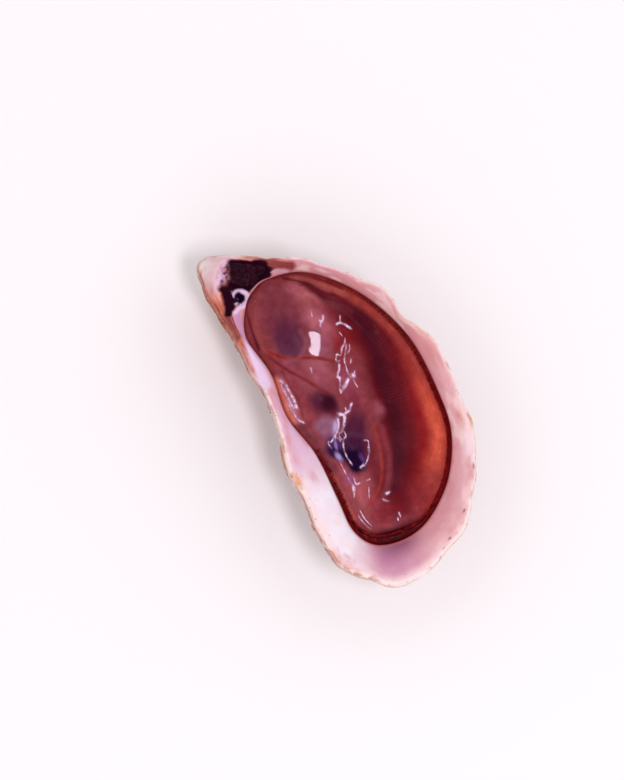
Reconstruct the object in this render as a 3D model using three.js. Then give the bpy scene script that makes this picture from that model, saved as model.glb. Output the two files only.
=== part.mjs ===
/**
 * Oyster on the half shell: the cupped lower valve lying on its back, the opened
 * oyster in it, the liquor standing round the oyster, and the torn ligament in the hinge.
 *
 * Millimetres, +Z up. +X runs from the hinge to the lip, +Y to the bulging side.
 * The origin is on the floor, under the middle of the shell.
 *
 * Every piece is a closed skin. Its vertices are addressed by t, the way once round
 * the shell from the beak over the bulging side (0 to 1), and by a row across it.
 */
import * as THREE from 'three';
import { mergeVertices } from 'three/addons/utils/BufferGeometryUtils.js';

// ---- Driving dimensions ----
const RIM_HEIGHT = 24; // floor to the mean crest of the lip
const RIM_THICKNESS = 1.3; // depth of the rolled edge along most of the margin
const LIQUOR_LEVEL = 20.6; // floor to the top of the liquor
const CAVITY_FLOOR = 3.8; // floor to the deepest point of the hollow
const GAP = 0.3; // clearance between pieces that touch

/** The margin of the shell seen from above, from the beak over the bulging side. */
const MARGIN = [
  [-50.8, -10.2], [-44.2, -0.2], [-36.8, 9.8], [-27.5, 18.3], [-16.3, 24.2], [-2.5, 26.4], [12.5, 26.7],
  [25.4, 23.2], [37.2, 16.2], [46.3, 5.6], [50.6, -9], [47.2, -19.2], [36.5, -26.5], [22, -26],
  [7, -23.3], [-8, -18.9], [-23, -17.2], [-35.4, -15.7], [-45.4, -15.2],
];

/** Where the lip dips into the liquor, one point for each point of the margin. */
const WATERLINE = [
  [-37.4, -5.6], [-38.3, -0.1], [-34.1, 8.4], [-26, 15.6], [-15.6, 20.5], [-2.5, 22.9], [12, 21.3],
  [23.2, 18.1], [33, 10.5], [38.9, 0.6], [39.9, -7.6], [37, -15.2], [30.5, -18.2], [21, -17],
  [9, -15.2], [-6.5, -16], [-20.6, -13.8], [-31.4, -11.9], [-34.4, -9.3],
];

// Places on the way round, as values of t.
const BEAK_T = 0.985;
const HINGE_SIDE_T = 0.9;
const LIP_T = 0.54;

// The outer face.
const BASE_CENTRE = new THREE.Vector2(2.5, 0.5); // over the flat that the shell rests on
const OLDEST_GROWTH = new THREE.Vector2(-36, -4); // where the growth lines close up
const BASE_SINK = 1.3; // how much of the rounded underside the flat cuts away
const LAMELLAE = 8;
const LAMELLA_LIFT = 1; // how far the free edge of a growth plate stands off

// The hollow.
const SPINE = [new THREE.Vector2(-23, 2), new THREE.Vector2(24, -1)]; // long axis of the hollow
const CAVITY_ROUNDNESS = 1.9;
const HOLLOW_ROWS = [0.985, 0.93, 0.82, 0.66, 0.46, 0.24, 0]; // from the waterline down to the floor

// Every skin round the shell has the same columns, so that their facets lie alike.
const COLUMNS = 84;

// The hinge pit, in t and in the fraction of the way from margin to waterline.
const PIT = { t: 0.02, across: 0.6, halfT: 0.05, halfAcross: 0.4, depth: 3.8 };

const TAU = Math.PI * 2;

// ---- Small helpers ----
const mix = (a, b, share) => a + (b - a) * share;
const wave = (t, count, phase) => Math.sin(TAU * count * t + phase);
const bell = (distance, halfWidth) => Math.cos((Math.PI / 2) * Math.min(distance / halfWidth, 1)) ** 2;
const awayFrom = (t, place) => Math.abs(((((t - place + 0.5) % 1) + 1) % 1) - 0.5);

function loop(points) {
  const corners = points.map(([x, y]) => new THREE.Vector3(x, y, 0));
  return new THREE.CatmullRomCurve3(corners, true, 'catmullrom', 0.5);
}

const marginCurve = loop(MARGIN);
const waterlineCurve = loop(WATERLINE);

function planPoint(curve, t) {
  const point = curve.getPoint(((t % 1) + 1) % 1);
  return new THREE.Vector2(point.x, point.y);
}

/** The margin with its scallops: shallow waves, one broad scallop past a notch, and the blunt knob. */
function margin(t) {
  const step = 1e-3;
  const point = planPoint(marginCurve, t);
  const along = planPoint(marginCurve, t + step).sub(planPoint(marginCurve, t - step)).normalize();
  const waves = 0.35 * wave(t, 11, 0.6) + 0.25 * wave(t, 19, 2.2);
  const broad = 1.1 * bell(awayFrom(t, 0.277), 0.026) - 0.9 * bell(awayFrom(t, 0.236), 0.026);
  const waist = -0.7 * bell(awayFrom(t, 0.843), 0.02);
  const knob = 1.1 * bell(awayFrom(t, 0.981), 0.034);
  const outward = (waves + broad + waist) * (1 - bell(awayFrom(t, BEAK_T), 0.08)) + knob;
  return point.add(new THREE.Vector2(-along.y, along.x).multiplyScalar(outward));
}

const waterline = (t) => planPoint(waterlineCurve, t);

/**
 * A closed skin of columns x rows vertices. Rows run from pole to pole, or round a
 * closed section where ring is true, and place(t, row) gives each vertex.
 */
function skin(columns, rows, place, ring = false) {
  const profile = [];
  const last = rows - 1;
  for (let row = 0; row < rows; row += 1) {
    const turn = (row / last) * (ring ? TAU : Math.PI);
    const radius = ring ? 2 - Math.cos(turn) : Math.sin(turn);
    const height = ring ? Math.sin(turn) : -Math.cos(turn);
    profile.push(new THREE.Vector2(radius, height));
  }
  const geometry = new THREE.LatheGeometry(profile, columns);
  const position = geometry.getAttribute('position');
  for (let index = 0; index < position.count; index += 1) {
    const column = (columns - Math.floor(index / rows)) % columns;
    const row = index % rows;
    const point = place(column / columns, ring ? row % last : row);
    position.setXYZ(index, point.x, point.y, point.z);
  }
  geometry.deleteAttribute('normal');
  geometry.deleteAttribute('uv');
  return withoutSlivers(mergeVertices(geometry, 1e-4));
}

/** Drops the triangles that a pole has folded to a line. */
function withoutSlivers(geometry) {
  const corners = geometry.getIndex().array;
  const kept = [];
  for (let index = 0; index < corners.length; index += 3) {
    const [a, b, c] = corners.slice(index, index + 3);
    if (a !== b && b !== c && c !== a) {
      kept.push(a, b, c);
    }
  }
  geometry.setIndex(kept);
  geometry.computeVertexNormals();
  return geometry;
}

// ---- The lip, from the margin in to the waterline ----
const beakShare = (t) => bell(awayFrom(t, BEAK_T), 0.075);
const hingeSideShare = (t) => bell(awayFrom(t, HINGE_SIDE_T), 0.1);

const crestHeight = (t) => RIM_HEIGHT + 0.7 * wave(t, 2, 1.2) + 0.4 * wave(t, 5, 0.3);

/** How far the margin hangs below the crest: a thin edge, but a broad slope by the hinge. */
const marginDrop = (t) => Math.max(mix(RIM_THICKNESS, 8, beakShare(t)), mix(RIM_THICKNESS, 6.5, hingeSideShare(t)));

/** Where the crest runs, as a fraction of the way from margin to waterline. */
const crestAcross = (t) => Math.max(mix(0.14, 0.4, beakShare(t)), mix(0.14, 0.5, hingeSideShare(t)));

function pit(t, across) {
  const turn = ((((t - PIT.t + 0.5) % 1) + 1) % 1) - 0.5;
  const radius = Math.hypot(turn / PIT.halfT, (across - PIT.across) / PIT.halfAcross);
  return radius < 1 ? PIT.depth * (1 - radius ** 2) ** 1.2 : 0;
}

/** Height of the lip without the hinge pit. */
function lipHeight(t, across) {
  const crest = crestHeight(t);
  const ridge = crestAcross(t);
  if (across < ridge) {
    return crest - marginDrop(t) * (1 - across / ridge) ** 2.2;
  }
  return mix(crest, LIQUOR_LEVEL, ((across - ridge) / (1 - ridge)) ** 1.6);
}

function lipPoint(t, across, rise = 0) {
  const plan = margin(t).lerp(waterline(t), across);
  return new THREE.Vector3(plan.x, plan.y, lipHeight(t, across) + rise);
}

// ---- The outer face, from the oldest growth out to the margin ----
/** The margin seen from the base centre, by angle, so any place can be set against it. */
const bearings = [];
const BEARING_STEPS = 2400;
for (let step = 0; step <= BEARING_STEPS; step += 1) {
  const t = step / BEARING_STEPS;
  const reach = margin(t).sub(BASE_CENTRE);
  let angle = reach.angle();
  if (step > 0 && angle > bearings[step - 1].angle + 1) {
    angle -= TAU;
  }
  bearings.push({ t, angle, reach: reach.length() });
}

/** The place on the margin that lies in the same direction as a point. */
function bearingOf(x, y) {
  let angle = new THREE.Vector2(x, y).sub(BASE_CENTRE).angle();
  if (angle > bearings[0].angle) {
    angle -= TAU;
  }
  let low = 0;
  let high = BEARING_STEPS;
  while (high - low > 1) {
    const middle = (low + high) >> 1;
    if (bearings[middle].angle > angle) {
      low = middle;
    } else {
      high = middle;
    }
  }
  const share = (bearings[low].angle - angle) / (bearings[low].angle - bearings[high].angle || 1);
  return {
    t: mix(bearings[low].t, bearings[high].t, share),
    reach: mix(bearings[low].reach, bearings[high].reach, share),
  };
}

const wallTop = (t) => crestHeight(t) - marginDrop(t);
const wallRoundness = (t) => 1.9 + 0.5 * bell(awayFrom(t, BEAK_T), 0.2) - 0.2 * bell(awayFrom(t, LIP_T), 0.2);

/** Height of the cup's smooth outer face over a point: a bowl with a flat cut under it. */
function cupHeight(x, y) {
  const side = bearingOf(x, y);
  const out = Math.min(Math.hypot(x - BASE_CENTRE.x, y - BASE_CENTRE.y) / side.reach, 1);
  const roundness = wallRoundness(side.t);
  const bowl = 1 - (1 - out ** roundness) ** (1 / roundness);
  const top = wallTop(side.t);
  return Math.max(0, (top * bowl - BASE_SINK) * (top / (top - BASE_SINK)));
}

/** A point of the smooth outer face: growth is 0 at the oldest shell and 1 at the margin. */
function outerPoint(t, growth) {
  const out = Math.sin((Math.PI / 2) * growth);
  const centre = OLDEST_GROWTH.clone().lerp(BASE_CENTRE, out ** 3);
  const plan = centre.lerp(margin(t), out);
  const height = growth >= 1 ? wallTop(t) : cupHeight(plan.x, plan.y);
  return new THREE.Vector3(plan.x, plan.y, height);
}

/** A point of the outer face moved out along its normal, but never below the floor. */
function raisedOuterPoint(t, growth, lift) {
  const step = 2e-3;
  const along = outerPoint(t + step, growth).sub(outerPoint(t - step, growth));
  const inward = outerPoint(t, growth - step).sub(outerPoint(t, growth));
  const point = outerPoint(t, growth).addScaledVector(along.cross(inward).normalize(), lift);
  point.z = Math.max(point.z, 0);
  return point;
}

/** The growth plates: each rises slowly to its free edge and drops to the next. */
const plateRows = [];
for (let plate = 0; plate < LAMELLAE; plate += 1) {
  const start = plate / LAMELLAE;
  const end = (plate + 1) / LAMELLAE;
  for (const [share, lift] of [[0.12, 0], [0.55, 0.45], [0.96, 1]]) {
    plateRows.push({ plate, growth: mix(start, end, share), lift: lift * LAMELLA_LIFT });
  }
}

function plateRowPoint(t, { plate, growth, lift }) {
  const taper = Math.min(1, growth * 3) * (1 - growth ** 5);
  const wander = 0.012 * wave(t, 3 + (plate % 4), plate * 1.7) * taper;
  const unevenness = 0.7 + 0.3 * wave(t, 4 + (plate % 3), plate * 2.3);
  return raisedOuterPoint(t, growth + wander, lift * unevenness * taper);
}

// ---- The hollow and what lies in it ----
/** The nearest place on the long axis of the hollow to a point of the waterline. */
function spinePoint(edge) {
  const axis = SPINE[1].clone().sub(SPINE[0]);
  const share = edge.clone().sub(SPINE[0]).dot(axis) / axis.lengthSq();
  return SPINE[0].clone().addScaledVector(axis, Math.min(Math.max(share, 0), 1));
}

/** Plan point of the hollow: out is 0 over the middle and 1 at the waterline, less an inset. */
function hollowPlan(t, out, inset = 0) {
  const edge = waterline(t);
  const centre = BASE_CENTRE.clone().lerp(spinePoint(edge), out);
  const reach = edge.sub(centre);
  const length = reach.length();
  return centre.addScaledVector(reach, out * (1 - inset / length));
}

/** How far, in millimetres, a place is in from the waterline. */
const inFromWaterline = (t, out) => (1 - out) * waterline(t).distanceTo(spinePoint(waterline(t)));

const outAtInset = (t, inset) => 1 - inset / waterline(t).distanceTo(spinePoint(waterline(t)));

/** Where the hollow's wall stands at a depth under the waterline, as out. */
function wallOut(depth) {
  const share = depth / (LIQUOR_LEVEL - CAVITY_FLOOR);
  return (1 - share ** CAVITY_ROUNDNESS) ** (1 / CAVITY_ROUNDNESS);
}

/** A point of the hollow's wall, moved in by an inset. */
function hollowPoint(t, out, inset = 0) {
  const plan = hollowPlan(t, out, inset);
  const bowl = (1 - out ** CAVITY_ROUNDNESS) ** (1 / CAVITY_ROUNDNESS);
  return new THREE.Vector3(plan.x, plan.y, mix(LIQUOR_LEVEL, CAVITY_FLOOR, bowl) + inset);
}

// ---- The shell ----
const LIP_ROWS = [0.05, 0.14, 0.27, 0.42, 0.56, 0.7, 0.84, 0.94, 1];

function shellPoint(t, row) {
  if (row === 0) {
    return outerPoint(0, 0);
  }
  let index = row - 1;
  if (index < plateRows.length) {
    return plateRowPoint(t, plateRows[index]);
  }
  index -= plateRows.length;
  if (index === 0) {
    return lipPoint(t, 0);
  }
  index -= 1;
  if (index < LIP_ROWS.length) {
    return lipPoint(t, LIP_ROWS[index], -pit(t, LIP_ROWS[index]));
  }
  return hollowPoint(t, HOLLOW_ROWS[index - LIP_ROWS.length]);
}

const shellRows = 2 + plateRows.length + LIP_ROWS.length + HOLLOW_ROWS.length;

// ---- The hinge ligament: a torn dark wedge that fills the hinge pit ----
const LIGAMENT_ROWS = [0, 0.35, 0.65, 0.88, 1, 0.92, 0.7, 0.4, 0];
const LIGAMENT_REACH = 0.75; // share of the pit that it covers

function ligamentPoint(turn, row) {
  const radius = LIGAMENT_REACH * LIGAMENT_ROWS[row];
  const t = PIT.t + PIT.halfT * radius * Math.cos(TAU * turn);
  const across = PIT.across + PIT.halfAcross * radius * Math.sin(TAU * turn);
  const under = row < 4;
  const torn = 0.3 * Math.sin(9 * turn * TAU) * radius;
  const rise = under ? 3 * GAP - pit(t, across) : torn - 0.4;
  return lipPoint(t, across, row === 4 ? -0.45 : rise);
}

// ---- The oyster ----
const GROOVE_DEPTH = 2.4; // how far the mantle's outer edge lies under the liquor
const MANTLE_RISE = 0.9; // mantle ridge above the liquor
const MANTLE_SLOPE = 1.2; // breadth of the mantle's climb out of the groove

/** Width of the groove between shell and mantle: widest at the lip. */
const grooveWidth = (t) => 0.9 + 2.4 * bell(awayFrom(t, LIP_T + 0.03), 0.14);

/** Rounded swellings and hollows of the body: place, half lengths, turn and height. */
const SWELLINGS = {
  visceralMass: { at: [-21, 1], half: [16, 12], turn: 0.25, height: 1.6 },
  digestiveGland: { at: [-21.8, -4.8], half: [7, 6], turn: 0, height: 0.3 },
  heartHollow: { at: [-2.3, -5.9], half: [5, 4], turn: 0.3, height: -0.6 },
  muscleEnd: { at: [4.3, -9], half: [4, 3.4], turn: 0.3, height: 0.7 },
  muscleHollow: { at: [13.3, -6.6], half: [6, 5], turn: 0.2, height: -1.3 },
  pinkLobe: { at: [6.9, 4.8], half: [5.5, 3.5], turn: -0.3, height: 0.7 },
  lowerMantle: { at: [22, -9], half: [12, 6], turn: -0.4, height: 0.5 },
};

/** Folds and furrows: the line they follow, their half width and their height. */
const FOLDS = {
  gillFurrow: { line: [[-20, 12], [-6, 14.6], [8.5, 11], [20, 5.5], [28, -3], [30, -10]], half: 5.5, height: -1 },
  mantleFlap: { line: [[-34.2, 3.7], [-26.9, 9], [-19.7, 13.8], [-12, 17]], half: 3, height: 0.5 },
  bodyRidge: { line: [[-16, 9.8], [-6.9, 4.4], [1.9, 3.4]], half: 4, height: 0.4 },
  bodyFold: { line: [[-18.1, -13.1], [-13.9, -5.8], [-9.3, 2.2]], half: 3.2, height: -0.5 },
  heartFold: { line: [[-16.9, -11.8], [-8.9, -5.9], [-1.4, -3]], half: 3, height: 0.4 },
  gillEdge: { line: [[9, 2], [14.1, 0.4], [19.9, -2.8], [26.2, -10.1]], half: 3.2, height: 0.4 },
  leftRoll: { line: [[-20, -12.5], [-12.9, -13], [-4.5, -13]], half: 3, height: 0.6 },
};

for (const fold of Object.values(FOLDS)) {
  const corners = fold.line.map(([x, y]) => new THREE.Vector3(x, y, 0));
  fold.path = new THREE.CatmullRomCurve3(corners, false, 'catmullrom', 0.5).getPoints(90);
}

function swellingHeight(x, y, { at, half, turn, height }) {
  const dx = x - at[0];
  const dy = y - at[1];
  const u = (dx * Math.cos(turn) + dy * Math.sin(turn)) / half[0];
  const v = (dy * Math.cos(turn) - dx * Math.sin(turn)) / half[1];
  return height * bell(Math.hypot(u, v), 1);
}

function foldHeight(x, y, { path, half, height }) {
  const distance = Math.min(...path.map((point) => Math.hypot(point.x - x, point.y - y)));
  return height * bell(distance, half);
}

/** Height of the oyster's upper face: the groove at its edge, the mantle, then the body. */
function fleshHeight(t, out) {
  const plan = hollowPlan(t, out);
  const inset = inFromWaterline(t, out) - grooveWidth(t);
  const climb = 1 - bell(Math.max(inset, 0), MANTLE_SLOPE);
  let body = MANTLE_RISE + 0.5 * bell(Math.abs(inset - 4), 4);
  for (const swelling of Object.values(SWELLINGS)) {
    body += swellingHeight(plan.x, plan.y, swelling);
  }
  for (const fold of Object.values(FOLDS)) {
    body += foldHeight(plan.x, plan.y, fold);
  }
  return LIQUOR_LEVEL + mix(-GROOVE_DEPTH, body, climb);
}

const GROOVE_ROWS = [0, 0.55, 1]; // shares of the groove's width
const FLESH_TOP_INSETS = [0.6, 1.2, 2.6]; // millimetres in from the groove
const FLESH_TOP_ROWS = [0.9, 0.81, 0.72, 0.64, 0.56, 0.48, 0.41, 0.34, 0.27, 0.2, 0.14, 0.07, 0];

function fleshTopPoint(t, out) {
  const plan = hollowPlan(t, out, GAP);
  return new THREE.Vector3(plan.x, plan.y, fleshHeight(t, out));
}

function fleshPoint(t, row) {
  if (row < HOLLOW_ROWS.length) {
    return hollowPoint(t, HOLLOW_ROWS[HOLLOW_ROWS.length - 1 - row], GAP);
  }
  let index = row - HOLLOW_ROWS.length;
  if (index < GROOVE_ROWS.length) {
    return fleshTopPoint(t, mix(wallOut(GROOVE_DEPTH), outAtInset(t, grooveWidth(t)), GROOVE_ROWS[index]));
  }
  index -= GROOVE_ROWS.length;
  if (index < FLESH_TOP_INSETS.length) {
    return fleshTopPoint(t, outAtInset(t, grooveWidth(t) + FLESH_TOP_INSETS[index]));
  }
  index -= FLESH_TOP_INSETS.length;
  const innermostEdge = outAtInset(t, grooveWidth(t) + FLESH_TOP_INSETS[2]);
  return fleshTopPoint(t, innermostEdge * FLESH_TOP_ROWS[index]);
}

const fleshRows = HOLLOW_ROWS.length + GROOVE_ROWS.length + FLESH_TOP_INSETS.length + FLESH_TOP_ROWS.length;

// ---- The liquor: a moat that fills the groove up to its level ----
const LIQUOR_BED = GROOVE_DEPTH - 1.5 * GAP; // depth of the moat

function liquorPoint(t, row) {
  const width = grooveWidth(t);
  const section = [
    { out: outAtInset(t, width / 2), depth: 0 },
    { out: outAtInset(t, width + GAP / 2), depth: 0 },
    { out: outAtInset(t, width), depth: LIQUOR_BED - GAP / 2 },
    { out: outAtInset(t, width * 0.7), depth: LIQUOR_BED },
    { out: wallOut(LIQUOR_BED), depth: LIQUOR_BED, inset: GAP },
    { out: wallOut(LIQUOR_BED / 2), depth: LIQUOR_BED / 2, inset: GAP },
    { out: 1, depth: 0, inset: GAP },
  ];
  const { out, depth, inset = 0 } = section[row];
  const plan = hollowPlan(t, out, inset);
  return new THREE.Vector3(plan.x, plan.y, LIQUOR_LEVEL - depth);
}

// ---- The object ----
const finishes = {
  shell: { color: 0xd8c8c4, roughness: 0.5, metalness: 0 },
  oyster_meat: { color: 0xa4685c, roughness: 0.2, metalness: 0 },
  liquor: { color: 0x5a2a28, roughness: 0.05, metalness: 0 },
  hinge_ligament: { color: 0x2e1620, roughness: 0.6, metalness: 0 },
};

const skins = {
  shell: skin(COLUMNS, shellRows, shellPoint),
  oyster_meat: skin(COLUMNS, fleshRows, fleshPoint),
  liquor: skin(COLUMNS, 8, liquorPoint, true),
  hinge_ligament: skin(24, LIGAMENT_ROWS.length, ligamentPoint),
};

const group = new THREE.Group();
skins.shell.computeBoundingBox();
const middle = skins.shell.boundingBox.getCenter(new THREE.Vector3());
for (const [name, geometry] of Object.entries(skins)) {
  const mesh = new THREE.Mesh(geometry, new THREE.MeshStandardMaterial(finishes[name]));
  mesh.name = name;
  mesh.position.set(-middle.x, -middle.y, 0);
  group.add(mesh);
}

export default group;
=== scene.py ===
# %% [markdown]
# # An oyster on the half shell
# The deep lower valve of an oyster lies on its back. In it lie the opened animal and the
# salty liquor that it lived in, and a torn scrap of dark ligament is left in the hinge.
# Nearly every surface here could be sculpted by hand, but an oyster also follows rules: it
# adds its shell in rings, and its soft body hangs from the rim in folds. So each surface is
# worked out with numpy from those rules, and the same few curves drive all of them.

import bpy
import numpy as np
from mathutils import Matrix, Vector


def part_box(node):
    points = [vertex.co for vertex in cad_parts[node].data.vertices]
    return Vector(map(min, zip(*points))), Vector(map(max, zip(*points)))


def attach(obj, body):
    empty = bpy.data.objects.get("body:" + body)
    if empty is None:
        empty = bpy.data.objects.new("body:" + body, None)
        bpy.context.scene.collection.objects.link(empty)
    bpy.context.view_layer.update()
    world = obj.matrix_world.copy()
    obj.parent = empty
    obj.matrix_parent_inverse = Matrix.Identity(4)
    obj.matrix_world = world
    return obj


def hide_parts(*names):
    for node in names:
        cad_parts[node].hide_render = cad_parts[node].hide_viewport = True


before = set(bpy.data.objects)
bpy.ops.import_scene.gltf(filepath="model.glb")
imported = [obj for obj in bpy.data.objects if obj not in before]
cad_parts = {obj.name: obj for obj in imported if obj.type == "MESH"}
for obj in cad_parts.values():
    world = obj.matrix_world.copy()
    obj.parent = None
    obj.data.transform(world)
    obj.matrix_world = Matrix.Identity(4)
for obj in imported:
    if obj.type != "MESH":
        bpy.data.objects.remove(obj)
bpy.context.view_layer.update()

# %% [markdown]
# ## The two outlines
# Seen from above, an oyster has two outlines: the margin, where the shell ends, and the
# waterline, where the pale lip dips into the liquor. Nineteen points are enough for each,
# because a smooth curve through them does the rest. The points come in pairs, so
# one number t, the way once round from the beak, finds a place on both.

# %% Outlines in millimetres
MM = 0.001
MARGIN = np.array([
    (-50.8, -10.2), (-44.2, -0.2), (-36.8, 9.8), (-27.5, 18.3), (-16.3, 24.2), (-2.5, 26.4), (12.5, 26.7),
    (25.4, 23.2), (37.2, 16.2), (46.3, 5.6), (50.6, -9), (47.2, -19.2), (36.5, -26.5), (22, -26),
    (7, -23.3), (-8, -18.9), (-23, -17.2), (-35.4, -15.7), (-45.4, -15.2)])
WATERLINE = np.array([
    (-36.9, -5.4), (-37.5, -0.4), (-34.1, 8.4), (-26, 15.6), (-15.6, 20.5), (-2.5, 22.9), (12, 21.3),
    (23.2, 18.1), (33, 10.5), (38.9, 0.6), (39.9, -7.6), (37, -15.2), (30.5, -18.2), (21, -17),
    (8, -15.4), (-4.2, -16.3), (-16.0, -13.5), (-27.6, -13.7), (-34.4, -9.3)])
BEAK_T, HINGE_SIDE_T, LIP_T = 0.985, 0.9, 0.54
TO_MIDDLE = np.array([0.411, -0.345, 0.0])  # brings the middle of the shell's box over the origin
TAU = 2 * np.pi


def closed_curve(points, t):
    """A Catmull-Rom curve through a ring of points: each stretch is the cubic that leaves a
    point along half the step between its two neighbours and arrives at the next one alike."""
    place = np.mod(t, 1) * len(points)
    first = np.floor(place).astype(int)
    w = (place - first)[..., None]
    a, b, c, d = (points[(first + step) % len(points)] for step in (-1, 0, 1, 2))
    leave, arrive = (c - a) / 2, (d - b) / 2
    cubed, squared = 2 * b - 2 * c + leave + arrive, 3 * c - 3 * b - 2 * leave - arrive
    return cubed * w**3 + squared * w**2 + leave * w + b


def open_curve(points, steps):
    """The same curve through points that don't close, as `steps` places from end to end."""
    points = np.asarray(points, float)
    ends = np.vstack([2 * points[0] - points[1], points, 2 * points[-1] - points[-2]])
    place = np.linspace(1, len(points) - 1e-6, steps)
    return closed_curve(ends, place / len(ends))


print("outline points:", len(MARGIN), "and", len(WATERLINE))

# %% [markdown]
# ## Bumps and steps
# Almost every form below is a soft bump or a soft step: a swelling of the flesh, a stain on
# the lip, the start of the horn. A handful of short formulas serve them all.


# %% Bumps and steps
def wave(t, count, phase):
    """A sine that goes `count` times up and down on the way round."""
    return np.sin(TAU * count * t + phase)


def bell(distance, half_width):
    """A smooth bump: the square of a cosine, 1 at no distance and 0 from half_width on."""
    return np.cos(np.pi / 2 * np.clip(distance / half_width, 0, 1)) ** 2


def rise(value, low, high):
    """A smooth step: 0 below low, 1 above high, and 3x^2 - 2x^3 between."""
    x = np.clip((value - low) / (high - low), 0, 1)
    return x * x * (3 - 2 * x)


def away_from(t, place):
    """How far t is from a place on the way round, by the shorter side."""
    return np.abs(np.mod(t - place + 0.5, 1) - 0.5)


def mix(a, b, share):
    """From a to b by a share from 0 to 1."""
    return a + (b - a) * share


def flat_points(plan):
    """The points of a plan at no height, for bumps that don't change on the way up."""
    return np.concatenate([plan, np.zeros_like(plan[..., :1])], -1)


print("half way out on a bump:", bell(0.5, 1).round(2), "half way up a step:", rise(0.5, 0, 1))

# %% [markdown]
# ## Roughness without a pattern
# Shell and flesh are uneven at every size, and never in a way that repeats. A lattice of
# random numbers, blended smoothly between its points, gives a bump field of one size. Adding
# finer and weaker lattices gives the roughness of real stuff. The numbers come from a
# formula on the lattice places, so that every run makes the same oyster.


# %% Random bump fields
def lattice_value(cell, seed):
    """A random number from -1 to 1 for each lattice place, by mixing its whole numbers."""
    mixed = (cell * np.array([73856093, 19349663, 83492791])).sum(axis=-1) + seed * 2654435761
    mixed = np.bitwise_and(np.bitwise_xor(mixed, mixed >> 13) * 1274126177, 0x7FFFFFFF)
    mixed = np.bitwise_and(np.bitwise_xor(mixed, mixed >> 16) * 668265263, 0x7FFFFFFF)
    return mixed / 0x3FFFFFFF - 1


def bumps(points, size, seed):
    """Bumps about `size` across: the eight lattice values round a point, blended by 3x^2 - 2x^3."""
    cell = np.floor(points / size).astype(np.int64)
    inside = points / size - cell
    inside = inside * inside * (3 - 2 * inside)
    total = np.zeros(points.shape[:-1])
    for corner in np.ndindex(2, 2, 2):
        share = np.where(corner, inside, 1 - inside).prod(axis=-1)
        total += share * lattice_value(cell + np.array(corner), seed)
    return total


def rough(points, size, seed, octaves=3):
    """Bump fields added up, each half as large and half as strong as the one before."""
    total = sum(bumps(points, size / 2**k, seed + k) / 2**k for k in range(octaves))
    return total / (2 - 0.5 ** (octaves - 1))


def round_trip(t, radius, height=0.0):
    """Points on a circle, so that a bump field has no seam on the way round."""
    t, height = np.broadcast_arrays(t, height)
    return np.stack([radius * np.cos(TAU * t), radius * np.sin(TAU * t), height], axis=-1)


print("bump field at the origin:", bumps(np.zeros((1, 3)), 1.0, 1))

# %% [markdown]
# ## The margin and the lip
# The margin isn't a clean curve: it is scalloped where the last growth plates end, and at the
# beak it swells to a blunt knob. The lip is the band between it and the waterline.

# %% Margin and waterline
NOTCHES, NOTCH_BREADTH = ((0.277, 1.1), (0.236, -0.9)), 0.026  # place on the way round, and move out
DENT, DENT_BREADTH, DENT_DEPTH = 0.843, 0.02, 0.7
KNOB, KNOB_BREADTH, KNOB_SWELL = 0.981, 0.034, 1.1


def margin(t):
    """The margin in plan, moved sideways by scallops: two waves, small bumps, one broad
    scallop past a notch, a dent in the hollow side, and the blunt knob."""
    step = 1e-3
    along = closed_curve(MARGIN, t + step) - closed_curve(MARGIN, t - step)
    along /= np.linalg.norm(along, axis=-1, keepdims=True)
    scallop = 0.35 * wave(t, 11, 0.6) + 0.25 * wave(t, 19, 2.2) + 0.3 * rough(round_trip(t, 30), 1.9, 5)
    scallop += sum(move * bell(away_from(t, place), NOTCH_BREADTH) for place, move in NOTCHES)
    scallop -= DENT_DEPTH * bell(away_from(t, DENT), DENT_BREADTH)
    scallop = scallop * (1 - bell(away_from(t, BEAK_T), 0.08))
    scallop += KNOB_SWELL * bell(away_from(t, KNOB), KNOB_BREADTH)
    return closed_curve(MARGIN, t) + np.stack([-along[..., 1], along[..., 0]], -1) * scallop[..., None]


def waterline(t):
    """The waterline in plan."""
    return closed_curve(WATERLINE, t)


def lip_plan(t, across):
    """Plan of the lip: a straight blend of margin and waterline."""
    return mix(margin(t), waterline(t), np.asarray(across)[..., None])


lip_end = np.array([LIP_T])
print("lip at its end:", np.linalg.norm(margin(lip_end) - waterline(lip_end)).round(1), "mm broad")

# %% [markdown]
# From the margin the lip climbs over a crest and then sinks towards the liquor. By the hinge
# the crest lies well inside the margin, so there a layered slope shows outside it. The hinge
# also has a pit for the ligament, and beside it a small socket with a curled pale rim.

# %% Heights of the lip
RIM_HEIGHT, RIM_THICKNESS = 24.0, 1.3
LIQUOR_LEVEL, CAVITY_FLOOR = 20.6, 3.8
BEAK_DROP, SIDE_DROP = 8, 6.5  # how far the margin hangs below the crest there
CREST_ACROSS, BEAK_CREST, SIDE_CREST = 0.14, 0.4, 0.5  # where the crest runs, as across
OUTSIDE_POWER, INSIDE_POWER = 2.2, 1.6  # how soon the lip falls away from the crest
PIT = {"t": 0.02, "across": 0.6, "half_t": 0.05, "half_across": 0.4, "depth": 3.8}


def beak_share(t):
    """1 at the beak, fading to 0 on both sides."""
    return bell(away_from(t, BEAK_T), 0.075)


def hinge_side_share(t):
    """1 on the steep side by the hinge, fading to 0."""
    return bell(away_from(t, HINGE_SIDE_T), 0.1)


def crest_height(t):
    """The crest: a mean height and two slow waves."""
    return RIM_HEIGHT + 0.7 * wave(t, 2, 1.2) + 0.4 * wave(t, 5, 0.3)


def margin_drop(t):
    """How far the margin hangs below the crest."""
    by_beak = mix(RIM_THICKNESS, BEAK_DROP, beak_share(t))
    return np.maximum(by_beak, mix(RIM_THICKNESS, SIDE_DROP, hinge_side_share(t)))


def crest_across(t):
    """Where the crest runs, as a share of the way from margin to waterline."""
    by_beak = mix(CREST_ACROSS, BEAK_CREST, beak_share(t))
    return np.maximum(by_beak, mix(CREST_ACROSS, SIDE_CREST, hinge_side_share(t)))


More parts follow.
